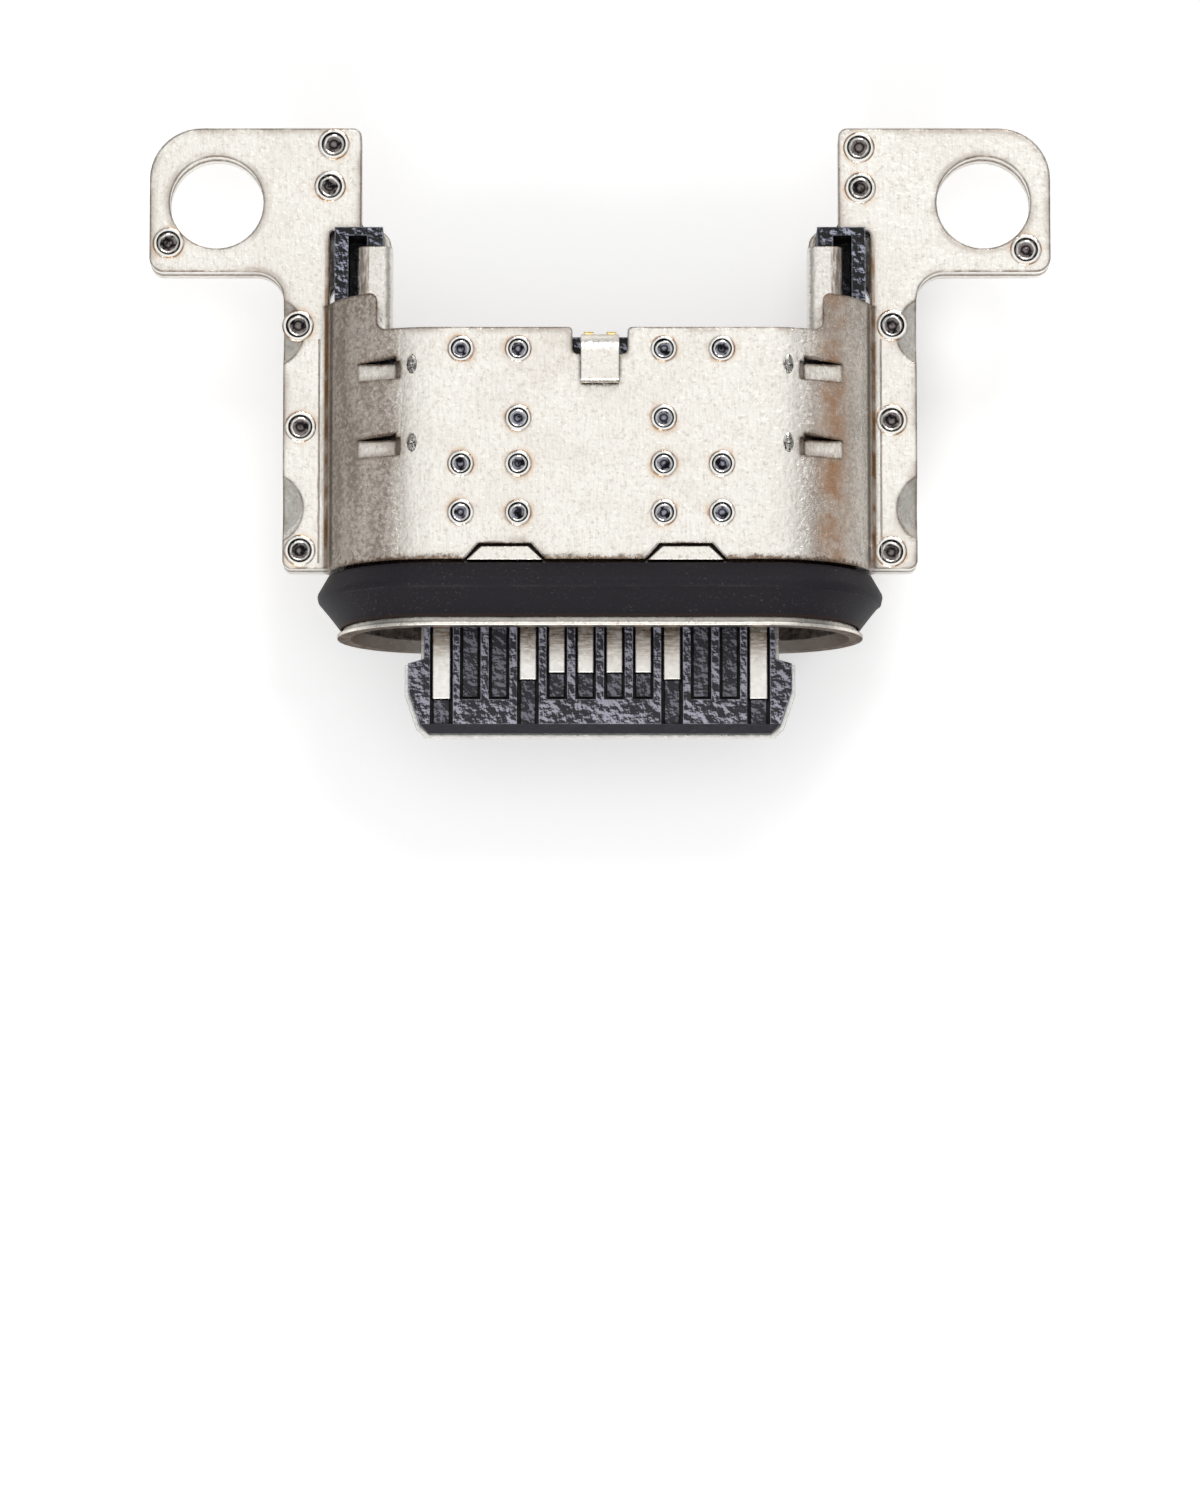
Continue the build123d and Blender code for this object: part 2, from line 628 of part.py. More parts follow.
def insulator(face, name, own_channels):
    # Half of the tongue with its step, root flange, contact slots and bevelled tip
    inner = half_mid + seam
    start = Plane.XY.offset(face * inner)
    outline = tongue_plan()
    with BuildPart(mode=Mode.PRIVATE) as body:
        with BuildSketch(start) as plan:
            make_face(outline.edges())
            mirror(about=Plane.YZ)
        extrude(plan.sketch, amount=face * (half_tongue - inner))
        with BuildSketch(start) as step:
            with Locations((0, step_front)):
                Rectangle(step_width, insulator_rear - step_front, align=(Align.CENTER, Align.MIN))
        extrude(step.sketch, amount=face * (step_height / 2 - inner))
        with BuildSketch(at_y(insulator_rear)) as root:
            oval(-shell_wall - fit)
            with Locations((0, -face * shell_radius)):
                Rectangle(shell_width, 2 * (shell_radius + inner), mode=Mode.SUBTRACT)
        extrude(root.sketch, amount=insulator_rear - flange_front)
        with BuildSketch(Plane.YZ.offset(-tongue_width)) as bevel:
            Polygon(
                (tongue_tip, face * (half_tongue - bevel_drop)),
                (tongue_tip + bevel_length, face * half_tongue),
                (tongue_tip, face * half_tongue),
                align=None,
            )
        extrude(bevel.sketch, amount=2 * tongue_width, mode=Mode.SUBTRACT)
        with BuildSketch(Plane.XY.offset(face * (half_tongue - slot_depth))) as slots:
            for x in short_slot_x:
                with Locations((-x, slot_front), (x, slot_front)):
                    Rectangle(slot_width, slot_rear - slot_front, align=(Align.CENTER, Align.MIN))
            for x, width in long_slots:
                with Locations((-x, long_front), (x, long_front)):
                    Rectangle(
                        width + 2 * slot_gap, slot_rear - long_front, align=(Align.CENTER, Align.MIN),
                    )
        extrude(slots.sketch, amount=face * slot_depth, mode=Mode.SUBTRACT)
        with BuildSketch(Plane.XY.offset(face * (half_tongue - slot_depth))) as floors:
            for x in short_slot_x:
                with Locations((-x, slot_front + slot_moat), (x, slot_front + slot_moat)):
                    Rectangle(
                        slot_width - 2 * slot_moat, slot_rear - slot_front - slot_moat,
                        align=(Align.CENTER, Align.MIN),
                    )
            for x, width in long_slots:
                with Locations((-x, long_front), (x, long_front)):
                    Rectangle(
                        width - slot_gap / 2, slot_rear - long_front, align=(Align.CENTER, Align.MIN),
                    )
        extrude(floors.sketch, amount=face * (slot_depth - slot_floor))
        for channel in own_channels:
            add(channel, mode=Mode.SUBTRACT)
    body.part.label = name
    return body.part


# Moulded halves of the tongue
upper_insulator = insulator(1, "upper_insulator", upper_channels)
lower_insulator = insulator(-1, "lower_insulator", lower_channels)

# Steel plate between them, a little wider than the plastic
steel_edge = tongue_plan(mid_overhang)
with BuildPart() as mid_plate:
    with BuildSketch(Plane.XY.offset(-half_mid)):
        make_face(steel_edge.edges())
        with Locations((0, insulator_rear)):
            Rectangle(
                step_width / 2, mid_rear - insulator_rear, align=(Align.MIN, Align.MIN),
            )
        mirror(about=Plane.YZ)
    extrude(amount=mid_sheet)
mid_plate.part.label = "mid_plate"

# Rear housing: plug behind the insulators, tail comb and two arms that carry the clips
housing_front = insulator_rear + fit
comb_low = tail_low - comb_skin
block_rear = lower_rear + fit
clip_inner = arm_inner - fit - clip_sheet
leg_inner = clip_outer - clip_sheet
pocket_inner = leg_inner - fit
pocket_outer = arm_outer - pocket_wall
with BuildPart() as rear_housing:
    with BuildSketch(at_y(shell_rear)):
        oval(-shell_wall - fit)
    extrude(amount=shell_rear - housing_front)
    with BuildSketch(at_y(comb_rear)):
        with Locations((0, comb_low)):
            Rectangle(2 * arm_inner, comb_top - comb_low, align=(Align.CENTER, Align.MIN))
        oval(-fit, mode=Mode.INTERSECT)
    extrude(amount=comb_rear - shell_rear)
    with BuildSketch(at_y(upper_tab_rear + fit)):
        with Locations((0, (arm_top + skirt_bottom) / 2)):
            Rectangle(2 * skirt_outer, arm_top - skirt_bottom)
            Rectangle(2 * arm_inner, shell_width, mode=Mode.SUBTRACT)
        oval(-fit, mode=Mode.INTERSECT)
    extrude(amount=upper_tab_rear - lower_rear)
    with BuildSketch(Plane.XY.offset(comb_low)):
        with Locations((0, housing_front)):
            Rectangle(
                mouth_width - mouth_height, block_rear - housing_front,
                align=(Align.CENTER, Align.MIN),
            )
    extrude(amount=-mouth_height / 2 + crimp_step - comb_low)
    for hand in (-1, 1):
        with BuildSketch(Plane.XY.offset(arm_top)):
            with Locations((hand * (arm_inner + arm_outer) / 2, upper_tab_rear)):
                Rectangle(
                    arm_outer - arm_inner, arm_rear - upper_tab_rear,
                    align=(Align.CENTER, Align.MIN),
                )
        extrude(amount=fit - arm_top)
        with BuildSketch(Plane.XY.offset(-flange_low - fit)):
            with BuildLine():
                FilletPolyline(
                    (hand * arm_inner, block_rear), (hand * arm_inner, skirt_rear),
                    (hand * skirt_outer, skirt_rear), (hand * skirt_outer, block_rear + skirt_chamfer),
                    (hand * (skirt_outer - skirt_chamfer), block_rear),
                    (hand * arm_inner, block_rear),
                    radius=[0, 0, skirt_corner, edge_radius, edge_radius], close=True,
                )
            make_face()
        extrude(amount=skirt_bottom + flange_low + fit)
        with BuildSketch(Plane.XY.offset(pocket_floor)):
            with Locations((hand * pocket_inner, clip_front - fit)):
                Rectangle(
                    2 * (pocket_outer - pocket_inner), pocket_rear - clip_front + fit,
                    align=(Align.CENTER, Align.MIN),
                )
                Rectangle(
                    2 * (arm_outer - pocket_inner), upper_tab_rear + 2 * fit - clip_front,
                    align=(Align.CENTER, Align.MIN),
                )
            with Locations((0, clip_front - fit)):
                Rectangle(
                    2 * pocket_inner, arm_rear, align=(Align.CENTER, Align.MIN),
                    mode=Mode.SUBTRACT,
                )
        extrude(amount=arm_top, mode=Mode.SUBTRACT)
        leg_x = hand * (leg_inner + clip_sheet / 2)
        with BuildSketch(Plane.XY.offset(skirt_bottom)):
            with Locations((leg_x, socket_y)):
                Rectangle(socket_width, socket_length)
        extrude(amount=pocket_floor - skirt_bottom, mode=Mode.SUBTRACT)
        with BuildSketch(Plane.XY.offset(skirt_bottom)):
            with Locations((leg_x, socket_y)):
                Rectangle(socket_width + 2 * frame_margin, socket_length + 2 * frame_margin)
        extrude(amount=frame_depth, mode=Mode.SUBTRACT)
        with BuildSketch(Plane.XY):
            with Locations((leg_x, prong_tips[1][0])):
                Rectangle(clip_sheet + 2 * fit, prong_length + 2 * fit)
        extrude(amount=arm_top / 2, mode=Mode.SUBTRACT)
    with BuildSketch(Plane.XY.offset(-half_mid - seam)):
        with Locations((0, housing_front)):
            Rectangle(
                step_width + 2 * fit, mid_rear + fit - housing_front,
                align=(Align.CENTER, Align.MIN),
            )
    extrude(amount=mid_sheet + 2 * seam, mode=Mode.SUBTRACT)
    with BuildSketch(Plane.XY.offset(comb_low)):
        for name, face, pad_x, pad_front, pad_width, tail_x, tail_width in contacts:
            with Locations((tail_x, groove_front)):
                Rectangle(
                    tail_width + 2 * fit, comb_rear - groove_front,
                    align=(Align.CENTER, Align.MIN),
                )
    extrude(amount=tail_level - comb_low, mode=Mode.SUBTRACT)
    for channel in channels:
        add(channel, mode=Mode.SUBTRACT)
rear_housing.part.label = "rear_housing"


def ground_clip(hand, name):
    # Folded clip: inner leg, top and outer leg with two prongs, over the arm's inner wall
    top = arm_top + fit + clip_sheet / 2
    with BuildPart(mode=Mode.PRIVATE) as clip:
        with BuildSketch(at_y(clip_rear)) as section:
            with BuildLine():
                FilletPolyline(
                    (hand * (clip_inner + clip_sheet / 2), top - clip_leg),
                    (hand * (clip_inner + clip_sheet / 2), top),
                    (hand * (clip_outer - clip_sheet / 2), top),
                    (hand * (clip_outer - clip_sheet / 2), top / 2),
                    radius=[clip_crease, clip_bend - clip_sheet / 2],
                )
                offset(amount=clip_sheet / 2, kind=Kind.INTERSECTION)
            make_face()
        extrude(section.sketch, amount=clip_rear - clip_front)
        for y, tip in prong_tips:
            with BuildSketch(Plane.XY.offset(tip)) as prong:
                with Locations((hand * (clip_outer - clip_sheet / 2), y)):
                    Rectangle(clip_sheet, prong_length)
            extrude(prong.sketch, amount=top / 2 - tip)
    clip.part.label = name
    return clip.part


# Ground clips on both arms
left_ground_clip = ground_clip(-1, "left_ground_clip")
right_ground_clip = ground_clip(1, "right_ground_clip")


def shield_pad(face, name):
    # Thin plate on the step of the tongue, turned up against the insulator's root
    level = face * (step_height / 2 + fit + pad_sheet / 2)
    rear = flange_front - fit - pad_sheet / 2
    with BuildPart(mode=Mode.PRIVATE) as pad:
        with BuildSketch(Plane.YZ.offset(-shield_width / 2)) as section:
            with BuildLine():
                FilletPolyline(
                    (step_front + fit, level), (rear, level), (rear, face * pad_flange),
                    radius=pad_sheet,
                )
                offset(amount=pad_sheet / 2, kind=Kind.INTERSECTION)
            make_face()
        extrude(section.sketch, amount=shield_width)
    pad.part.label = name
    return pad.part


# Shield pads at the root of the tongue
upper_shield_pad = shield_pad(1, "upper_shield_pad")
lower_shield_pad = shield_pad(-1, "lower_shield_pad")

# Sealant: a fillet of potting between the comb and the rear edges of shell and lower cover
with BuildPart() as rear_sealant:
    with BuildSketch(Plane.YZ.offset(-arm_inner + fit)):
        with BuildLine():
            Polyline(
                (sealant_front, sealant_bottom), (sealant_front, comb_low - fit),
                (sealant_rear, comb_low - fit),
            )
            RadiusArc(
                (sealant_rear, comb_low - fit), (sealant_front, sealant_bottom), sealant_arc,
            )
        make_face()
    extrude(amount=2 * (arm_inner - fit))
    with BuildSketch(at_y(comb_rear)):
        oval(-fit)
    extrude(amount=comb_rear - shell_rear, mode=Mode.INTERSECT)
rear_sealant.part.label = "rear_sealant"

pieces = [upper_cover, lower_cover, inner_shell, seal_ring, mid_plate, rear_housing, rear_sealant]
solids = [piece.part for piece in pieces]
solids += [upper_insulator, lower_insulator, left_ground_clip, right_ground_clip]
solids += [upper_shield_pad, lower_shield_pad, *strips.values()]
for solid in solids:
    export_step(solid, f"parts/{solid.label}.step")
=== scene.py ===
import bpy
import math
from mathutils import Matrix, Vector


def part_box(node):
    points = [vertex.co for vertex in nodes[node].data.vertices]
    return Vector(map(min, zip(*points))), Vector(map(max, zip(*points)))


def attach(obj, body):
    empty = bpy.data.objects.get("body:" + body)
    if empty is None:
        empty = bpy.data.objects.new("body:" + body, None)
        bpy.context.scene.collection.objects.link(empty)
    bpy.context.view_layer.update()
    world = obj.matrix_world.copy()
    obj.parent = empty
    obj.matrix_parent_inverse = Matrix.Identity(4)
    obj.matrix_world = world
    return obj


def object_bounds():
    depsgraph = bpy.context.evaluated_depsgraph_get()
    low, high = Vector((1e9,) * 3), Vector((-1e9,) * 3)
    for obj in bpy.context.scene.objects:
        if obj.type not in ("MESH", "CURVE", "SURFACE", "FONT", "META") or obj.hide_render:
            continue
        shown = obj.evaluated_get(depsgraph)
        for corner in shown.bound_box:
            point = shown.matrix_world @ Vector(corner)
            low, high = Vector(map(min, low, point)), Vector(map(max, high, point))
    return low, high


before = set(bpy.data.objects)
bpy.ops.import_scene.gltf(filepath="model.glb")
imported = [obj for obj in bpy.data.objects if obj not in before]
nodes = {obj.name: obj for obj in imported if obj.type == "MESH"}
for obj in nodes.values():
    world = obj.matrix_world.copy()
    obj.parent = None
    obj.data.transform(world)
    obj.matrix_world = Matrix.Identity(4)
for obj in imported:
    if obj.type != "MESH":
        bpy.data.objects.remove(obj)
cadLow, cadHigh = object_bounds()
mm = 0.001
print("frame loaded", len(nodes), "nodes")


# Short helpers for the shader trees
def addNode(tree, kind, **settings):
    made = tree.nodes.new(kind)
    for key, value in settings.items():
        setattr(made, key, value)
    return made


def feed(tree, socket, value):
    if isinstance(value, bpy.types.NodeSocket):
        tree.links.new(value, socket)
    else:
        socket.default_value = value


def calc(tree, operation, first, second=0.0, third=0.0, clamp=False):
    made = addNode(tree, "ShaderNodeMath", operation=operation, use_clamp=clamp)
    for socket, value in zip(made.inputs, (first, second, third)):
        feed(tree, socket, value)
    return made.outputs[0]


def window(tree, value, low, high, soft):  # 1 between low and high, with soft ends
    rise = spread(tree, value, low - soft, low + soft)
    fall = spread(tree, value, high + soft, high - soft)
    return calc(tree, "MULTIPLY", rise, fall)


def spread(tree, value, low, high, start=0.0, end=1.0):
    made = addNode(tree, "ShaderNodeMapRange", interpolation_type="SMOOTHSTEP")
    for socket, number in zip(made.inputs, (value, low, high, start, end)):
        feed(tree, socket, number)
    return made.outputs[0]


def tint(tree, factor, first, second, mode="MIX"):
    made = addNode(tree, "ShaderNodeMix", data_type="RGBA", blend_type=mode)
    feed(tree, made.inputs[0], factor)
    feed(tree, made.inputs[6], first)
    feed(tree, made.inputs[7], second)
    return made.outputs[2]


def noise(tree, vector, scale, detail=2.0, roughness=0.5, stretch=None):
    if stretch:
        mapping = addNode(tree, "ShaderNodeMapping")
        feed(tree, mapping.inputs[0], vector)
        mapping.inputs[3].default_value = stretch
        vector = mapping.outputs[0]
    made = addNode(tree, "ShaderNodeTexNoise")
    feed(tree, made.inputs["Vector"], vector)
    feed(tree, made.inputs["Scale"], scale)
    made.inputs["Detail"].default_value = detail
    made.inputs["Roughness"].default_value = roughness
    return made.outputs[0]


def millimetres(tree):
    place = addNode(tree, "ShaderNodeTexCoord")
    made = addNode(tree, "ShaderNodeVectorMath", operation="SCALE")
    feed(tree, made.inputs[0], place.outputs["Object"])
    made.inputs["Scale"].default_value = 1 / mm
    return made.outputs[0]


def axes(tree, vector):
    made = addNode(tree, "ShaderNodeSeparateXYZ")
    feed(tree, made.inputs[0], vector)
    return made.outputs


def level(tree, low, high):  # 1 where the face lies level, 0 where it leans
    place = addNode(tree, "ShaderNodeTexCoord")
    upright = calc(tree, "ABSOLUTE", axes(tree, place.outputs["Normal"])[2])
    return spread(tree, upright, low, high)


def effect(name, inputs, outputs):
    made = bpy.data.node_groups.new(name, "ShaderNodeTree")
    kinds = {"value": "NodeSocketFloat", "colour": "NodeSocketColor", "vector": "NodeSocketVector"}
    for label, kind, value in inputs:
        socket = made.interface.new_socket(name=label, in_out="INPUT", socket_type=kinds[kind])
        socket.default_value = value
    for label, kind in outputs:
        made.interface.new_socket(name=label, in_out="OUTPUT", socket_type=kinds[kind])
    source = made.nodes.new("NodeGroupInput")
    sink = made.nodes.new("NodeGroupOutput")
    return made, source.outputs, sink.inputs


def placeEffect(tree, group, **values):
    made = addNode(tree, "ShaderNodeGroup", node_tree=group)
    for label, value in values.items():
        feed(tree, made.inputs[label], value)
    return made.outputs


# Rolled sheet: fine streaks along Y, a warm speckle and the height of its grain
rolledSheet, given, put = effect(
    "Rolled sheet",
    [("Colour", "colour", (0.8, 0.8, 0.8, 1)), ("Warm", "colour", (0.6, 0.5, 0.4, 1)), ("Streaks", "value", 1.0),
     ("Speckle", "value", 1.0), ("Grain", "value", 1.0)],
    [("Colour", "colour"), ("Roughness", "value"), ("Height", "value")])
where = millimetres(rolledSheet)
streak = noise(rolledSheet, where, 1.0, 3.0, 0.6, (26.0, 3.2, 26.0))
speckle = noise(rolledSheet, where, 15.0, 4.0, 0.68)
clouds = noise(rolledSheet, where, 1.1, 2.0)
grain = noise(rolledSheet, where, 11.0, 3.0, 0.55)
streakMask = calc(rolledSheet, "MULTIPLY", spread(rolledSheet, streak, 0.44, 0.68), given["Streaks"])
speckleMask = calc(rolledSheet, "MULTIPLY", spread(rolledSheet, speckle, 0.5, 0.72), given["Speckle"])
darker = tint(rolledSheet, 0.5, given["Colour"], given["Warm"])
colour = tint(rolledSheet, calc(rolledSheet, "MULTIPLY", streakMask, 0.42), given["Colour"], darker)
colour = tint(rolledSheet, calc(rolledSheet, "MULTIPLY", speckleMask, 0.55), colour, given["Warm"])
cloudMask = calc(rolledSheet, "MULTIPLY", spread(rolledSheet, clouds, 0.4, 0.7), 0.22)
feed(rolledSheet, put["Colour"], tint(rolledSheet, cloudMask, colour, darker))
feed(rolledSheet, put["Roughness"], spread(rolledSheet, grain, 0.3, 0.7, 0.26, 0.40))
rolledHeight = calc(rolledSheet, "MULTIPLY_ADD", grain, given["Grain"], calc(rolledSheet, "MULTIPLY", streak, 0.12))
feed(rolledSheet, put["Height"], rolledHeight)

# Rounded edge: the normal of a broken edge and a mask of the edge itself
brokenEdge, given, put = effect(
    "Broken edge", [("Reach", "value", 0.03)], [("Normal", "vector"), ("Mask", "value")])
bevel = addNode(brokenEdge, "ShaderNodeBevel", samples=6)
feed(brokenEdge, bevel.inputs["Radius"], calc(brokenEdge, "MULTIPLY", given["Reach"], mm))
flat = addNode(brokenEdge, "ShaderNodeNewGeometry")
facing = addNode(brokenEdge, "ShaderNodeVectorMath", operation="DOT_PRODUCT")
feed(brokenEdge, facing.inputs[0], bevel.outputs[0])
feed(brokenEdge, facing.inputs[1], flat.outputs["Normal"])
feed(brokenEdge, put["Normal"], bevel.outputs[0])
feed(brokenEdge, put["Mask"], spread(brokenEdge, facing.outputs["Value"], 0.998, 0.955))

# Occlusion shade: a mask of what lies close to another surface, used to paint shade into crevices
occlusionShade, given, put = effect("Occlusion shade", [("Reach", "value", 0.2)], [("Mask", "value")])
shade = addNode(occlusionShade, "ShaderNodeAmbientOcclusion", samples=8)
feed(occlusionShade, shade.inputs["Distance"], calc(occlusionShade, "MULTIPLY", given["Reach"], mm))
feed(occlusionShade, put["Mask"], spread(occlusionShade, shade.outputs["AO"], 0.84, 0.42))

# Heat tint: a patchy straw halo with a brown ring, by the distance from what was hot
halo = {
    "straw": (0.72, 0.45, 0.22, 1), "brown": (0.42, 0.20, 0.09, 1), "ring": (0.225, 0.240, 0.018),
    "strawEnd": 0.36, "strawFull": 0.20, "wander": 0.07,
}
heatTint, given, put = effect(
    "Heat tint",
    [("Colour", "colour", (0.8, 0.8, 0.8, 1)), ("Distance", "value", 1.0), ("Strength", "value", 1.0)],
    [("Colour", "colour")])
where = millimetres(heatTint)
wander = noise(heatTint, where, 7.0, 2.0)
patches = noise(heatTint, where, 2.3, 2.0)
wandering = calc(heatTint, "MULTIPLY_ADD", wander, halo["wander"], -halo["wander"] / 2)
away = calc(heatTint, "ADD", given["Distance"], wandering)
ring = window(heatTint, away, *halo["ring"])
wide = spread(heatTint, away, halo["strawEnd"], halo["strawFull"])
ring = calc(heatTint, "MULTIPLY", ring, spread(heatTint, patches, 0.32, 0.6, 0.25, 1.0))
wide = calc(heatTint, "MULTIPLY", wide, spread(heatTint, patches, 0.42, 0.68, 0.0, 0.7))
straw = tint(heatTint, calc(heatTint, "MULTIPLY", wide, given["Strength"]), given["Colour"], halo["straw"])
ring = calc(heatTint, "MULTIPLY", ring, given["Strength"], clamp=True)
feed(heatTint, put["Colour"], tint(heatTint, ring, straw, halo["brown"]))

# Moulded plastic: dark crumpled skin, its slopes towards the light showing as pale strokes
mouldedSkin, given, put = effect(
    "Moulded skin",
    [("Colour", "colour", (0.02, 0.02, 0.025, 1)), ("Pale", "colour", (0.12, 0.13, 0.16, 1)),
     ("Mottle", "value", 1.0), ("Size", "value", 9.0), ("Cover", "value", 0.5)],
    [("Colour", "colour"), ("Roughness", "value"), ("Height", "value")])
where = millimetres(mouldedSkin)
moved = addNode(mouldedSkin, "ShaderNodeVectorMath", operation="ADD")
feed(mouldedSkin, moved.inputs[0], where)
moved.inputs[1].default_value = (0.014, 0.022, 0.0)
crumple = noise(mouldedSkin, where, given["Size"], 4.0, 0.52)
shifted = noise(mouldedSkin, moved.outputs[0], given["Size"], 4.0, 0.52)
patches = spread(mouldedSkin, noise(mouldedSkin, where, 2.6, 3.0, 0.6), 0.35, 0.65, -0.17, 0.15)
# painted sheen: slopes of the crumple towards the light turn pale, broken by random patches
slope = calc(mouldedSkin, "MULTIPLY_ADD", calc(mouldedSkin, "SUBTRACT", crumple, shifted), 3.8, given["Cover"])
slope = calc(mouldedSkin, "ADD", slope, patches)
paintedSheenMask = calc(mouldedSkin, "MULTIPLY", spread(mouldedSkin, slope, 0.30, 0.74), given["Mottle"])
feed(mouldedSkin, put["Colour"], tint(mouldedSkin, paintedSheenMask, given["Colour"], given["Pale"]))
feed(mouldedSkin, put["Roughness"], spread(mouldedSkin, crumple, 0.3, 0.7, 0.28, 0.55))
feed(mouldedSkin, put["Height"], crumple)
print("effects built")


def weldField(name, places):  # distance in plan to the nearest weld, from its own size
    made, given, put = effect(name, [], [("Distance", "value")])
    x, y = axes(made, millimetres(made))[:2]
    nearest = None
    for placeX, placeY, larger in places:
        across = calc(made, "SUBTRACT", x, placeX)
        along = calc(made, "SUBTRACT", y, placeY)
        squared = calc(made, "MULTIPLY_ADD", across, across, calc(made, "MULTIPLY", along, along))
        away = calc(made, "SUBTRACT", calc(made, "SQRT", squared), larger)
        nearest = away if nearest is None else calc(made, "MINIMUM", nearest, away)
    feed(made, put["Distance"], nearest)
    return made


def newMaterial(name):
    made = bpy.data.materials.new(name)
    made.use_nodes = True
    tree = made.node_tree
    return made, tree, tree.nodes["Principled BSDF"]


def bump(tree, height, strength, distance, normal=None):
    made = addNode(tree, "ShaderNodeBump")
    made.inputs["Strength"].default_value = strength
    made.inputs["Distance"].default_value = distance * mm
    feed(tree, made.inputs["Height"], height)
    if normal is not None:
        feed(tree, made.inputs["Normal"], normal)
    return made.outputs[0]


def finishNode(name, material):
    nodes[name].data.materials.clear()
    nodes[name].data.materials.append(material)


# Covers
cover = {
    "sheet": (0.95, 0.925, 0.865, 1), "warm": (0.52, 0.43, 0.34, 1), "bend": (0.30, 0.135, 0.05, 1),
    "corner": (0.50, 0.435, 0.385, 1), "cornerDark": (0.21, 0.165, 0.135, 1), "brown": (0.42, 0.23, 0.12, 1),
    "edge": (0.14, 0.09, 0.058, 1), "paintedShade": (0.045, 0.032, 0.025, 1),
    "rolled": (0.40, 0.335, 0.28, 1),
    "cornerBand": (3.0, 4.70, 0.05), "softSide": (3.1, 3.3), "brownBand": (3.80, 4.25, 0.25),
    "lanceFloor": (0.50, 1.82, 0.03), "lugFloor": (0.04, 0.26, 0.02), "lugX": (4.9, 5.0),
    "bendX": 4.765, "bendWidth": 0.036, "bendRun": (1.1, 6.9, 0.3), "foldX": 4.645, "foldWidth": 0.06,
    "scorchX": (-1.9, -0.3, 0.35), "scorchY": (3.55, 3.98),
    "edgeReach": 0.075, "rollReach": 0.24, "creviceReach": 0.12, "grainDepth": 0.014, "cornerDepth": 0.065,
    "frontY": 1.12, "frontX": (4.6, 4.4), "ragged": 0.09, "tornTop": 0.17, "tornLow": 0.05, "tornX": (4.5, 4.65),
    "railGrowth": 0.035,
    "upperWelds": [(-2.40, 4.79), (-1.41, 4.79), (1.10, 4.79), (2.10, 4.79), (-1.41, 3.58), (1.10, 3.58),
                   (-2.40, 2.78), (-1.41, 2.78), (1.10, 2.78), (2.10, 2.78),
                   (-2.40, 1.93), (-1.41, 1.93), (1.10, 1.93), (2.10, 1.93)],
    "lowerWelds": [(1.08, 3.35), (-1.35, 3.35), (2.03, 2.69), (1.08, 2.69), (-1.35, 2.69), (-2.28, 2.69),
                   (2.03, 1.90), (1.08, 1.90), (-1.35, 1.90), (-2.28, 1.90)],
    "railWelds": [(-4.66, 8.72), (-4.72, 7.97), (-7.54, 6.96), (-5.27, 5.49), (-5.22, 3.70), (-5.22, 1.52),
                  (4.53, 8.66), (4.55, 7.94), (7.44, 6.84), (5.10, 5.50), (5.08, 3.82), (5.06, 1.50)],
}


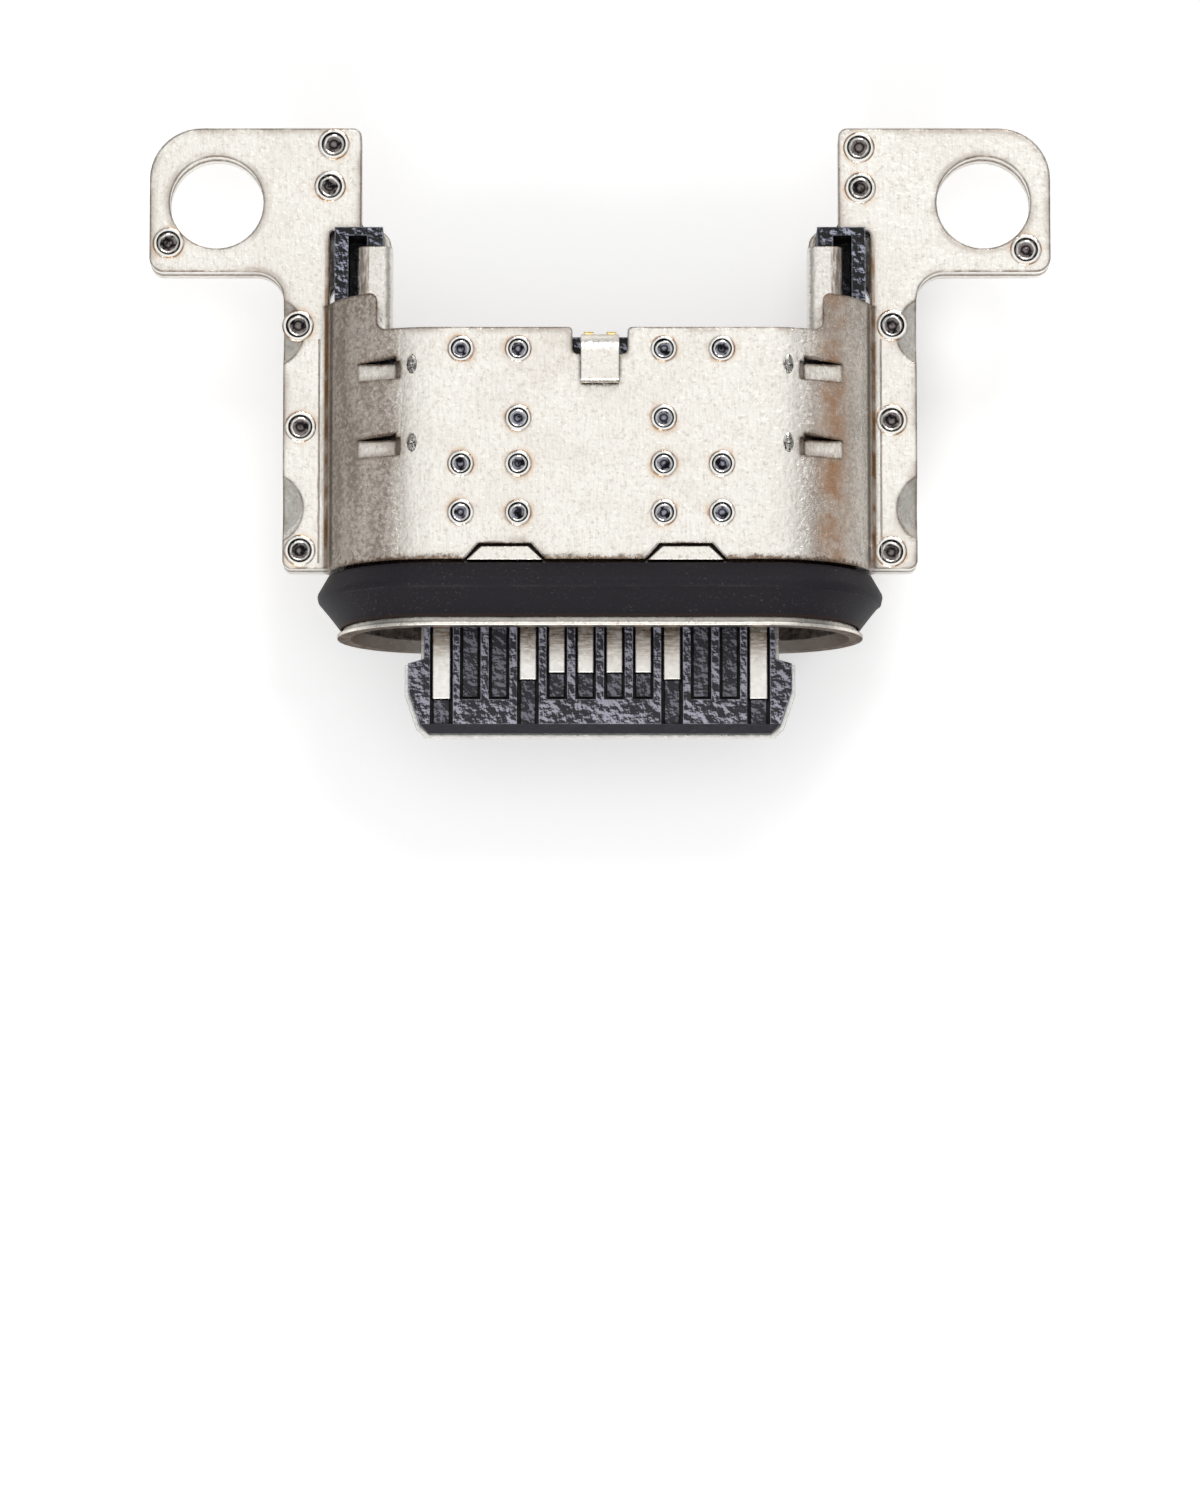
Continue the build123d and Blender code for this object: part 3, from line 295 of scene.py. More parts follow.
def coverMaterial(name, welds, strength, brownSide, brownAmount, scorch):
    made, tree, skin = newMaterial(name)
    where = millimetres(tree)
    x, y, z = axes(tree, where)
    sheet = placeEffect(tree, rolledSheet, Colour=cover["sheet"], Warm=cover["warm"])
    edge = placeEffect(tree, brokenEdge, Reach=cover["edgeReach"])
    occludedShade = placeEffect(tree, occlusionShade, Reach=cover["creviceReach"])
    distance = placeEffect(tree, weldField(name + " welds", welds))["Distance"]
    heated = placeEffect(tree, heatTint, Colour=sheet["Colour"], Distance=distance, Strength=strength)
    side = calc(tree, "ABSOLUTE", x)
    # the rounded corners of the hat are coarser than its flats; their darker colour, weaker on one side, is painted
    # shade
    leaning = calc(tree, "SUBTRACT", 1.0, level(tree, 0.90, 0.997))
    corner = calc(tree, "MULTIPLY", leaning, window(tree, side, *cover["cornerBand"]))
    softened = spread(tree, calc(tree, "MULTIPLY", x, brownSide), *cover["softSide"], 1.0, 0.55)
    corner = calc(tree, "MULTIPLY", corner, softened)
    coarse = noise(tree, where, 13.0, 4.0, 0.7)
    bands = noise(tree, where, 1.0, 2.0, 0.5, (2.6, 0.45, 2.6))
    colour = tint(tree, calc(tree, "MULTIPLY", corner, 0.85), heated["Colour"], cover["corner"])
    grit = calc(tree, "MULTIPLY", spread(tree, calc(tree, "MULTIPLY_ADD", bands, 0.5, coarse), 0.66, 0.86), 0.75)
    colour = tint(tree, calc(tree, "MULTIPLY", corner, grit), colour, cover["cornerDark"])
    # painted reflection: a brown band across one side's corner, for a dark band of the surroundings
    brown = window(tree, calc(tree, "MULTIPLY", x, brownSide), *cover["brownBand"])
    brown = calc(tree, "MULTIPLY", calc(tree, "MULTIPLY", brown, leaning), brownAmount)
    brown = calc(tree, "MULTIPLY", brown, spread(tree, noise(tree, where, 1.6, 4.0, 0.65), 0.36, 0.60, 0.3, 1.0))
    colour = tint(tree, brown, colour, cover["brown"])
    # the floors of the lances are bright and smooth, those of the pressed lugs gritty
    height = calc(tree, "ABSOLUTE", z)
    lying = level(tree, 0.97, 0.995)
    lanced = calc(tree, "MULTIPLY", lying, window(tree, height, *cover["lanceFloor"]))
    pressed = calc(tree, "MULTIPLY", window(tree, height, *cover["lugFloor"]), spread(tree, side, *cover["lugX"]))
    pressed = calc(tree, "MULTIPLY", pressed, lying)
    pressed = calc(tree, "MULTIPLY", pressed, spread(tree, coarse, 0.44, 0.62, 0.0, 0.85))
    colour = tint(tree, pressed, colour, cover["cornerDark"])
    # straw line along the bend, with painted shade in the fold beside it
    along = window(tree, y, *cover["bendRun"])
    bendLow, bendHigh = cover["bendX"] - cover["bendWidth"], cover["bendX"] + cover["bendWidth"]
    straw = calc(tree, "MULTIPLY", window(tree, side, bendLow, bendHigh, 0.018), along)
    straw = calc(tree, "MULTIPLY", straw, spread(tree, noise(tree, where, 2.4, 3.0), 0.34, 0.60, 0.45, 1.0))
    colour = tint(tree, straw, colour, cover["bend"])
    foldEnd = cover["foldX"] + cover["foldWidth"]
    fold = calc(tree, "MULTIPLY", window(tree, side, cover["foldX"], foldEnd, 0.018), along)
    colour = tint(tree, calc(tree, "MULTIPLY", fold, 0.8), colour, cover["paintedShade"])
    # scorched patch by the rear notch of the lower cover
    burnt = calc(tree, "MULTIPLY", window(tree, x, *cover["scorchX"]), spread(tree, y, *cover["scorchY"]))
    burnt = calc(tree, "MULTIPLY", burnt, spread(tree, noise(tree, where, 4.5, 3.0), 0.35, 0.62, 0.1, scorch))
    colour = tint(tree, burnt, colour, cover["bend"])
    # sheared edges are rolled over; their grey-brown patches are painted shade on the rounding
    rolled = placeEffect(tree, brokenEdge, Reach=cover["rollReach"])["Mask"]
    patchy = spread(tree, noise(tree, where, 1.1, 3.0, 0.6), 0.40, 0.60, 0.08, 0.75)
    rolled = calc(tree, "MULTIPLY", rolled, patchy)
    colour = tint(tree, rolled, colour, cover["rolled"])
    # sheared walls of rails and ears show tearing, with painted shade darkening them towards the seam
    tornSeamShade = spread(tree, height, cover["tornTop"], cover["tornLow"])
    tornSeamShade = calc(tree, "MULTIPLY", tornSeamShade, spread(tree, side, *cover["tornX"]))
    tornSeamShade = calc(tree, "MULTIPLY", tornSeamShade, spread(tree, level(tree, 0.3, 0.6), 1.0, 0.0))
    tornSeamShade = calc(tree, "MULTIPLY", tornSeamShade, spread(tree, coarse, 0.35, 0.6, 0.45, 0.9))
    colour = tint(tree, tornSeamShade, colour, cover["edge"])
    # ragged dark line along the front edge of the hat
    frayed = calc(tree, "MULTIPLY_ADD", calc(tree, "SUBTRACT", coarse, 0.5), -cover["ragged"] * 4, y)
    frayed = spread(tree, frayed, cover["frontY"] + cover["ragged"], cover["frontY"] + 0.01)
    frayed = calc(tree, "MULTIPLY", frayed, spread(tree, side, *cover["frontX"]))
    colour = tint(tree, calc(tree, "MULTIPLY", frayed, 0.85), colour, cover["edge"])
    # painted shade on sharp edges and in crevices, less on the lances
    patchy = spread(tree, noise(tree, where, 3.2, 3.0), 0.36, 0.60, 0.45, 1.0)
    colour = tint(tree, calc(tree, "MULTIPLY", edge["Mask"], patchy), colour, cover["edge"])
    creviceShade = spread(tree, noise(tree, where, 6.0, 3.0), 0.3, 0.6, 0.6, 1.0)
    creviceShade = calc(tree, "MULTIPLY", creviceShade, calc(tree, "MULTIPLY_ADD", lanced, -0.7, 1.0))
    colour = tint(tree, calc(tree, "MULTIPLY", occludedShade["Mask"], creviceShade), colour, cover["paintedShade"])
    feed(tree, skin.inputs["Base Color"], colour)
    smoother = calc(tree, "MULTIPLY_ADD", lanced, 3.5, corner)
    feed(tree, skin.inputs["Roughness"], calc(tree, "MULTIPLY_ADD", smoother, -0.06, sheet["Roughness"]))
    skin.inputs["Metallic"].default_value = 1.0
    fine = bump(tree, sheet["Height"], 1.0, cover["grainDepth"], edge["Normal"])
    pebbled = calc(tree, "MULTIPLY", corner, coarse)
    feed(tree, skin.inputs["Normal"], bump(tree, pebbled, 1.0, cover["cornerDepth"], fine))
    return made


hatWelds = [(weldX, weldY, 0.0) for weldX, weldY in cover["upperWelds"]]
railWelds = [(weldX, weldY, cover["railGrowth"]) for weldX, weldY in cover["railWelds"]]
underWelds = [(weldX, weldY, 0.0) for weldX, weldY in cover["lowerWelds"]]
finishNode("upper_cover", coverMaterial("Upper cover sheet", hatWelds + railWelds, 0.8, 1.0, 0.95, 0.0))
finishNode("lower_cover", coverMaterial("Lower cover sheet", underWelds, 1.5, -1.0, 0.45, 0.95))
print("covers finished")


# Other steel: the clips carry painted shade, in streaks, beyond their fold
steels = {
    "middle": {
        "colour": (0.96, 0.95, 0.92, 1), "warm": (0.30, 0.24, 0.19, 1), "grain": 0.006, "reach": 0.018,
        "streaks": 0.3, "speckle": 0.4, "creviceShade": 0.03, "rim": 0.8,
    },
    "clip": {
        "colour": (0.86, 0.83, 0.78, 1), "warm": (0.34, 0.26, 0.19, 1), "grain": 0.016, "reach": 0.04,
        "streaks": 0.8, "speckle": 0.9, "creviceShade": 0.10, "rim": 0.8,
    },
    "pad": {"colour": (0.70, 0.68, 0.64, 1), "warm": (0.40, 0.33, 0.26, 1), "grain": 0.006, "reach": 0.02},
    "foldX": 4.0, "foldSoft": 0.03, "foldShade": (0.26, 0.20, 0.155, 1),
}


def metalMaterial(name, colour, warm, grain, reach, streaks=0.6, speckle=0.6, creviceShade=0.06, rim=0.3, foldX=None):
    made, tree, skin = newMaterial(name)
    occludedShade = placeEffect(tree, occlusionShade, Reach=creviceShade)
    sheet = placeEffect(tree, rolledSheet, Colour=colour, Warm=warm, Streaks=streaks, Speckle=speckle)
    edge = placeEffect(tree, brokenEdge, Reach=reach)
    # painted shade along the rounded edges
    colour = tint(tree, calc(tree, "MULTIPLY", edge["Mask"], rim), sheet["Colour"], warm)
    # painted shade, in streaks, beyond the fold of the clips
    if foldX:
        where = millimetres(tree)
        side = calc(tree, "ABSOLUTE", axes(tree, where)[0])
        folded = spread(tree, side, foldX, foldX + steels["foldSoft"])
        foldShade = noise(tree, where, 1.0, 3.0, 0.6, (30.0, 3.0, 30.0))
        folded = calc(tree, "MULTIPLY", folded, spread(tree, foldShade, 0.35, 0.6, 0.25, 0.9))
        colour = tint(tree, folded, colour, steels["foldShade"])
    # painted shade in crevices
    colour = tint(tree, occludedShade["Mask"], colour, cover["paintedShade"])
    feed(tree, skin.inputs["Base Color"], colour)
    feed(tree, skin.inputs["Roughness"], sheet["Roughness"])
    skin.inputs["Metallic"].default_value = 1.0
    feed(tree, skin.inputs["Normal"], bump(tree, sheet["Height"], 1.0, grain, edge["Normal"]))
    return made


midMetal = metalMaterial("Middle plate steel", **steels["middle"])
clipMetal = metalMaterial("Clip steel", **steels["clip"], foldX=steels["foldX"])
burrMetal = metalMaterial("Burr steel", **steels["clip"])
padMetal = metalMaterial("Pad steel", **steels["pad"])

# Inner shell: bright outside, grainy inside the mouth with painted grey-brown shade, heat stained behind
mouth = {
    "arcX": 2.89, "steel": (0.92, 0.89, 0.83, 1), "warm": (0.45, 0.33, 0.22, 1),
    "inside": (0.30, 0.25, 0.215, 1), "insideDark": (0.10, 0.078, 0.065, 1), "insideY": (3.6, 3.2),
    "flare": (0.15, 0.13, 0.115, 1), "flareLength": 0.17,
    "face": (0.40, 0.365, 0.335, 1), "faceEnd": (0.13, 0.108, 0.094, 1), "endX": (2.9, 3.7),
    "stain": (0.34, 0.16, 0.06, 1), "stainY": (3.9, 4.1), "stainZ": (-1.2, -1.4),
    "edgeReach": 0.035, "grainDepth": 0.012, "glance": (0.42, 0.375, 0.345, 1),
}
shellMetal, tree, skin = newMaterial("Drawn steel")
where = millimetres(tree)
x, y, z = axes(tree, where)
sheet = placeEffect(tree, rolledSheet, Colour=mouth["steel"], Warm=mouth["warm"], Streaks=0.5)
edge = placeEffect(tree, brokenEdge, Reach=mouth["edgeReach"])
occludedShade = placeEffect(tree, occlusionShade, Reach=cover["creviceReach"])
aspect = axes(tree, addNode(tree, "ShaderNodeTexCoord").outputs["Normal"])
straight = calc(tree, "MINIMUM", calc(tree, "MAXIMUM", x, -mouth["arcX"]), mouth["arcX"])
beyond = calc(tree, "SUBTRACT", x, straight)
outward = calc(tree, "MULTIPLY_ADD", beyond, aspect[0], calc(tree, "MULTIPLY", z, aspect[2]))
# painted shade inside the mouth, mottled by the grain
inside = calc(tree, "MULTIPLY", spread(tree, outward, -0.2, -0.6), spread(tree, y, *mouth["insideY"]))
coarse = noise(tree, where, 8.0, 4.0, 0.7)
lining = tint(tree, spread(tree, coarse, 0.42, 0.66), mouth["inside"], mouth["insideDark"])
# painted shade on the flare of the mouth
flared = spread(tree, y, mouth["flareLength"] + 0.03, mouth["flareLength"] - 0.02)
lining = tint(tree, flared, lining, mouth["flare"])
colour = tint(tree, calc(tree, "MULTIPLY", inside, 0.95), sheet["Colour"], lining)
# painted shade on the faces that look forward, darker towards the curved ends
fronting = spread(tree, aspect[1], -0.55, -0.92)
ended = spread(tree, calc(tree, "ABSOLUTE", x), *mouth["endX"])
frontShade = calc(tree, "MULTIPLY", fronting, spread(tree, noise(tree, where, 5.0, 3.0), 0.3, 0.65, 0.75, 1.0))
colour = tint(tree, frontShade, colour, tint(tree, ended, mouth["face"], mouth["faceEnd"]))
stained = calc(tree, "MULTIPLY", spread(tree, y, *mouth["stainY"]), spread(tree, z, *mouth["stainZ"]))
scorched = calc(tree, "MULTIPLY_ADD", window(tree, x, *cover["scorchX"]), 0.6, 0.3)
stained = calc(tree, "MULTIPLY", stained, scorched)
stained = calc(tree, "MULTIPLY", stained, spread(tree, coarse, 0.35, 0.6, 0.4, 1.0))
colour = tint(tree, stained, colour, mouth["stain"])
# painted shade in crevices
colour = tint(tree, occludedShade["Mask"], colour, cover["paintedShade"])
feed(tree, skin.inputs["Base Color"], colour)
feed(tree, skin.inputs["Roughness"], calc(tree, "MULTIPLY_ADD", inside, 0.12, sheet["Roughness"]))
skin.inputs["Metallic"].default_value = 1.0
skin.inputs["Specular Tint"].default_value = mouth["glance"]
grainy = calc(tree, "MULTIPLY_ADD", calc(tree, "MULTIPLY", inside, coarse), 1.5, sheet["Height"])
feed(tree, skin.inputs["Normal"], bump(tree, grainy, 1.0, mouth["grainDepth"], edge["Normal"]))
finishNode("inner_shell", shellMetal)
finishNode("mid_plate", midMetal)
for name in ("left_ground_clip", "right_ground_clip"):
    finishNode(name, clipMetal)
for name in ("upper_shield_pad", "lower_shield_pad"):
    finishNode(name, padMetal)


# Moulded pieces: slotLevel is the height under which a face is the floor of a slot
plastics = {
    "tongue": {
        "colour": (0.024, 0.023, 0.030, 1), "pale": (0.45, 0.44, 0.52, 1), "sheenMottle": 1.0, "covered": 0.42,
        "grain": 0.022, "reach": 0.03, "rim": 1.0, "slotLevel": 0.33,
    },
    "housing": {
        "colour": (0.004, 0.004, 0.006, 1), "pale": (0.40, 0.42, 0.52, 1), "sheenMottle": 0.9, "covered": 0.30,
        "grain": 0.025, "reach": 0.035, "rim": 0.7, "slotLevel": 0.0,
    },
    "size": 8.0, "occlusionShade": (0.003, 0.003, 0.004, 1), "creviceReach": 0.24, "slotRim": (0.004, 0.004, 0.005, 1),
    "grooveTop": 0.07, "grooveLow": 0.09, "gloss": 0.30,
}


def plasticMaterial(name, colour, pale, sheenMottle, covered, grain, reach, rim, slotLevel):
    made, tree, skin = newMaterial(name)
    moulded = placeEffect(
        tree, mouldedSkin, Colour=colour, Pale=pale, Mottle=sheenMottle, Size=plastics["size"], Cover=covered)
    edge = placeEffect(tree, brokenEdge, Reach=reach)
    occludedShade = placeEffect(tree, occlusionShade, Reach=plastics["creviceReach"])
    lying = level(tree, 0.90, 0.99)
    # painted shade: the raised floors of the slots are darker, the grooves round them black
    height = calc(tree, "ABSOLUTE", axes(tree, millimetres(tree))[2])
    floorShade = calc(tree, "MULTIPLY", spread(tree, height, slotLevel, slotLevel - 0.01), 0.55)
    grooveShade = spread(tree, height, slotLevel - plastics["grooveTop"], slotLevel - plastics["grooveLow"])
    floorColour = tint(tree, calc(tree, "MAXIMUM", floorShade, grooveShade), moulded["Colour"], colour)
    # the pale painted sheen lies only on level faces, leaning faces stay dark
    flat = tint(tree, lying, colour, floorColour)
    # painted highlight along the edges of raised faces
    rimmed = calc(tree, "MULTIPLY", edge["Mask"], lying)
    upper = spread(tree, height, slotLevel - 0.01, slotLevel)
    patchy = spread(tree, noise(tree, millimetres(tree), 6.0, 3.0), 0.35, 0.6, 0.1, rim)
    flat = tint(tree, calc(tree, "MULTIPLY", calc(tree, "MULTIPLY", rimmed, upper), patchy), flat, pale)
    # painted shade along the edges of the slot floors
    lower = calc(tree, "SUBTRACT", 1.0, upper)
    flat = tint(tree, calc(tree, "MULTIPLY", rimmed, lower), flat, plastics["slotRim"])
    # painted shade in crevices
    feed(tree, skin.inputs["Base Color"], tint(tree, occludedShade["Mask"], flat, plastics["occlusionShade"]))
    feed(tree, skin.inputs["Roughness"], moulded["Roughness"])
    skin.inputs["Specular IOR Level"].default_value = plastics["gloss"]
    feed(tree, skin.inputs["Normal"], bump(tree, moulded["Height"], 1.0, grain, edge["Normal"]))
    return made


tonguePlastic = plasticMaterial("Tongue plastic", **plastics["tongue"])
housingPlastic = plasticMaterial("Housing plastic", **plastics["housing"])
for name in ("upper_insulator", "lower_insulator"):
    finishNode(name, tonguePlastic)
finishNode("rear_housing", housingPlastic)

# Seal rubber: almost black, dusty, with a faint line along the crest and a painted brown reflection at its foot
seal = {
    "rubber": (0.0125, 0.0105, 0.0145, 1), "dust": (0.095, 0.082, 0.082, 1), "brown": (0.035, 0.020, 0.014, 1),
    "crestY": 0.63, "crestHalf": 0.01, "crestSoft": 0.02, "footY": 0.17, "footLength": 0.06,
    "roughness": 0.58, "gloss": 0.22, "grainDepth": 0.010,
}
sealMaterial, tree, skin = newMaterial("Seal rubber")
where = millimetres(tree)
y = axes(tree, where)[1]
fleck = noise(tree, where, 26.0, 3.0, 0.6)
drift = noise(tree, where, 1.4, 3.0)
dusty = calc(tree, "MULTIPLY", spread(tree, fleck, 0.59, 0.72), spread(tree, drift, 0.35, 0.65, 0.2, 0.9))
crest = window(
    tree, y, seal["crestY"] - seal["crestHalf"], seal["crestY"] + seal["crestHalf"], seal["crestSoft"])
crest = calc(tree, "MULTIPLY", crest, spread(tree, drift, 0.4, 0.6, 0.05, 0.3))
# painted reflection: brown at the front foot of the ring
foot = calc(tree, "MULTIPLY", spread(tree, y, seal["footY"] + seal["footLength"], seal["footY"]), 0.8)
colour = tint(tree, calc(tree, "MAXIMUM", dusty, crest), seal["rubber"], seal["dust"])
feed(tree, skin.inputs["Base Color"], tint(tree, foot, colour, seal["brown"]))
skin.inputs["Roughness"].default_value = seal["roughness"]
skin.inputs["Specular IOR Level"].default_value = seal["gloss"]
feed(tree, skin.inputs["Normal"], bump(tree, fleck, 1.0, seal["grainDepth"]))
finishNode("seal_ring", sealMaterial)

# Sealant: smoother and glossier than the mouldings
potting = {
    "colour": (0.008, 0.008, 0.011, 1), "pale": (0.08, 0.08, 0.10, 1), "sheenMottle": 0.5, "size": 5.0, "covered": 0.3,
    "roughness": 0.22, "grainDepth": 0.03,
}
sealantMaterial, tree, skin = newMaterial("Rear sealant")
# its pale strokes are painted sheen, as on the mouldings
moulded = placeEffect(
    tree, mouldedSkin, Colour=potting["colour"], Pale=potting["pale"], Mottle=potting["sheenMottle"],
    Size=potting["size"], Cover=potting["covered"])
feed(tree, skin.inputs["Base Color"], moulded["Colour"])
skin.inputs["Roughness"].default_value = potting["roughness"]
feed(tree, skin.inputs["Normal"], bump(tree, moulded["Height"], 1.0, potting["grainDepth"]))
finishNode("rear_sealant", sealantMaterial)

# Contacts: nickel-bright pads with painted shade towards the mouth, gold tails
plating = {
    "nickel": (0.95, 0.93, 0.89, 1), "warm": (0.50, 0.38, 0.27, 1), "mouthShade": (0.42, 0.30, 0.20, 1),
    "gold": (0.82, 0.56, 0.24, 1), "goldDark": (0.36, 0.19, 0.065, 1), "goldEdge": (0.34, 0.17, 0.05, 1),
    "occlusionShade": (0.10, 0.05, 0.025, 1), "tailY": (3.0, 3.6), "mouthShadeY": (-0.55, 0.10),
    "edgeReach": 0.035, "creviceReach": 0.10, "grainDepth": 0.004,
}
contactMaterial, tree, skin = newMaterial("Contact plating")
where = millimetres(tree)
y = axes(tree, where)[1]
sheet = placeEffect(
    tree, rolledSheet, Colour=plating["nickel"], Warm=plating["warm"], Streaks=0.4, Speckle=0.5)
cloudy = calc(tree, "MULTIPLY", spread(tree, noise(tree, where, 9.0, 3.0), 0.45, 0.7), 0.5)
gold = tint(tree, cloudy, plating["gold"], plating["goldDark"])
tail = spread(tree, y, *plating["tailY"])
# painted shade on the pads towards the mouth, in streaks
shadeStreaks = noise(tree, where, 1.0, 3.0, 0.6, (4.0, 30.0, 4.0))
mouthShade = calc(tree, "MULTIPLY", spread(tree, y, *plating["mouthShadeY"]), spread(tree, shadeStreaks, 0.35, 0.62, 0.15, 0.85))
colour = tint(tree, tail, tint(tree, mouthShade, sheet["Colour"], plating["mouthShade"]), gold)
edge = placeEffect(tree, brokenEdge, Reach=plating["edgeReach"])
occludedShade = placeEffect(tree, occlusionShade, Reach=plating["creviceReach"])
# painted shade along the rounded edges of the gold tails
rimmed = calc(tree, "MULTIPLY", calc(tree, "MULTIPLY", edge["Mask"], tail), 0.8)
colour = tint(tree, rimmed, colour, plating["goldEdge"])
# painted shade in crevices
feed(tree, skin.inputs["Base Color"], tint(tree, occludedShade["Mask"], colour, plating["occlusionShade"]))
feed(tree, skin.inputs["Roughness"], sheet["Roughness"])
skin.inputs["Metallic"].default_value = 1.0
feed(tree, skin.inputs["Normal"], bump(tree, sheet["Height"], 1.0, plating["grainDepth"], edge["Normal"]))
for name in nodes:
    if name.startswith("contact_"):
        finishNode(name, contactMaterial)
print("finishes placed")


# Weld beads: a bowl with a raised rim, turned once and set in each pit
bead = {
    "rings": [(0.195, 0.010), (0.178, 0.008), (0.160, -0.026), (0.120, -0.040), (0.065, -0.036), (0.030, -0.028)],
    "skirt": 0.225, "sunk": -0.006, "sides": 32, "sheet": 0.010, "railScale": 1.2, "railTop": 0.305, "turn": 1.3,
    "black": (0.008, 0.008, 0.010, 1), "innerShadeRing": (0.045, 0.080, 0.020), "crest": (0.122, 0.148, 0.010),
    "wall": (0.150, 0.162), "lip": (0.174, 0.181), "burnt": (0.200, 0.220), "grainDepth": 0.015,
}
beadLooks = {
    "Upper": {"bowl": (0.30, 0.30, 0.36, 1), "rim": (0.93, 0.92, 0.88, 1), "heat": (0.42, 0.25, 0.14, 1)},
    "Rail": {"bowl": (0.23, 0.195, 0.185, 1), "rim": (0.93, 0.91, 0.86, 1), "heat": (0.45, 0.25, 0.12, 1)},
    "Lower": {"bowl": (0.22, 0.165, 0.13, 1), "rim": (0.97, 0.93, 0.87, 1), "heat": (0.60, 0.29, 0.09, 1)},
}


def beadMaterial(name, bowl, rim, heat):
    made, tree, skin = newMaterial(name)
    where = millimetres(tree)
    radial = addNode(tree, "ShaderNodeAttribute", attribute_name="radial").outputs["Fac"]
    fleck = noise(tree, where, 9.0, 3.0)
    uneven = calc(tree, "MULTIPLY_ADD", calc(tree, "SUBTRACT", noise(tree, where, 5.0, 2.0), 0.5), 0.06, radial)
    ashen = tint(tree, spread(tree, fleck, 0.42, 0.62), bowl, bead["black"])
    # painted rings: the dark inner ring and the black wall are painted shade, the bright crest ring a painted
    # highlight
    colour = tint(tree, window(tree, uneven, *bead["innerShadeRing"]), ashen, bead["black"])
    colour = tint(tree, window(tree, uneven, *bead["crest"]), colour, rim)
    colour = tint(tree, spread(tree, radial, *bead["wall"]), colour, bead["black"])
    colour = tint(tree, spread(tree, radial, *bead["lip"]), colour, rim)
    patchy = spread(tree, noise(tree, where, 4.0, 2.0), 0.4, 0.6, 0.3, 1.0)
    burnt = calc(tree, "MULTIPLY", spread(tree, radial, *bead["burnt"]), patchy)
    feed(tree, skin.inputs["Base Color"], tint(tree, burnt, colour, heat))
    feed(tree, skin.inputs["Roughness"], spread(tree, fleck, 0.3, 0.7, 0.10, 0.30))
    skin.inputs["Metallic"].default_value = 1.0
    feed(tree, skin.inputs["Normal"], bump(tree, fleck, 1.0, bead["grainDepth"]))
    return made


def selectVertices(piece, test):  # in edit mode, by place
    bpy.ops.object.mode_set(mode="OBJECT")
    for vertex in piece.data.vertices:
        vertex.select = test(vertex.co / mm)
    for edge in piece.data.edges:
        edge.select = all(piece.data.vertices[index].select for index in edge.vertices)
    bpy.ops.object.mode_set(mode="EDIT")


def turnBead():
    bpy.ops.object.select_all(action="DESELECT")
    height, radius = bead["sunk"], bead["skirt"]
    bpy.ops.mesh.primitive_circle_add(
        vertices=bead["sides"], radius=radius * mm, location=(0, 0, height * mm))
    piece = bpy.context.object
    bpy.ops.object.transform_apply(location=True)
    bpy.ops.object.mode_set(mode="EDIT")
    bpy.ops.mesh.select_all(action="SELECT")
    bpy.context.tool_settings.mesh_select_mode = (True, True, False)
    for ringRadius, ringHeight in bead["rings"]:
        bpy.ops.mesh.extrude_region_move(TRANSFORM_OT_translate={"value": (0, 0, (ringHeight - height) * mm)})
        factor = ringRadius / radius
        bpy.ops.transform.resize(value=(factor, factor, 1), center_override=(0, 0, ringHeight * mm))
        height, radius = ringHeight, ringRadius
    bpy.ops.mesh.edge_face_add()
    bpy.ops.mesh.poke()
    bpy.ops.mesh.select_all(action="SELECT")
    bpy.ops.mesh.normals_make_consistent(inside=False)
    bpy.ops.object.mode_set(mode="OBJECT")
    wall = piece.modifiers.new("Sheet", "SOLIDIFY")
    wall.thickness = bead["sheet"] * mm
    wall.offset = -1
    bpy.ops.object.modifier_apply(modifier="Sheet")
    radial = piece.data.attributes.new("radial", "FLOAT", "POINT")
    for index, vertex in enumerate(piece.data.vertices):
        radial.data[index].value = math.hypot(vertex.co.x, vertex.co.y) / mm
    bpy.ops.object.shade_smooth_by_angle(angle=math.radians(50))
    return piece


def setBeads(name, places, height, under, scale, material):
    for index, (placeX, placeY) in enumerate(places):
        piece = beadModel.copy()
        piece.data = beadModel.data.copy()
        piece.name = f"{name}_{index + 1:02d}"
        bpy.context.scene.collection.objects.link(piece)
        bpy.ops.object.select_all(action="DESELECT")
        piece.select_set(True)
        bpy.context.view_layer.objects.active = piece
        piece.rotation_euler = (math.pi if under else 0, 0, index * bead["turn"])
        piece.scale = (scale, scale, scale)
        piece.location = (placeX * mm, placeY * mm, height)
        bpy.ops.object.transform_apply(location=True, rotation=True, scale=True)
        piece.data.materials.append(material)
        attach(piece, "root")


beadModel = turnBead()
upperBead, railBead, lowerBead = [beadMaterial(f"{part} weld bead", **look) for part, look in beadLooks.items()]
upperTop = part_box("upper_cover")[1].z
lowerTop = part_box("lower_cover")[0].z
railTop = bead["railTop"] * mm
setBeads("hat_weld", cover["upperWelds"], upperTop, False, 1.0, upperBead)
setBeads("rail_weld", cover["railWelds"], railTop, False, bead["railScale"], railBead)
setBeads("under_weld", cover["lowerWelds"], lowerTop, True, 1.0, lowerBead)
bpy.data.objects.remove(beadModel)
print("weld beads set")


def startPiece(name):
    piece = bpy.context.object
    piece.name = name
    bpy.ops.object.transform_apply(location=True, rotation=True, scale=True)
    bpy.ops.object.mode_set(mode="EDIT")
    bpy.ops.mesh.select_all(action="SELECT")
    return piece


def closePiece(piece, material, angle):
    bpy.ops.mesh.select_all(action="SELECT")
    bpy.ops.mesh.normals_make_consistent(inside=False)
    bpy.ops.object.mode_set(mode="OBJECT")
    bpy.ops.object.shade_smooth_by_angle(angle=math.radians(angle))
    piece.data.materials.append(material)
    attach(piece, "root")


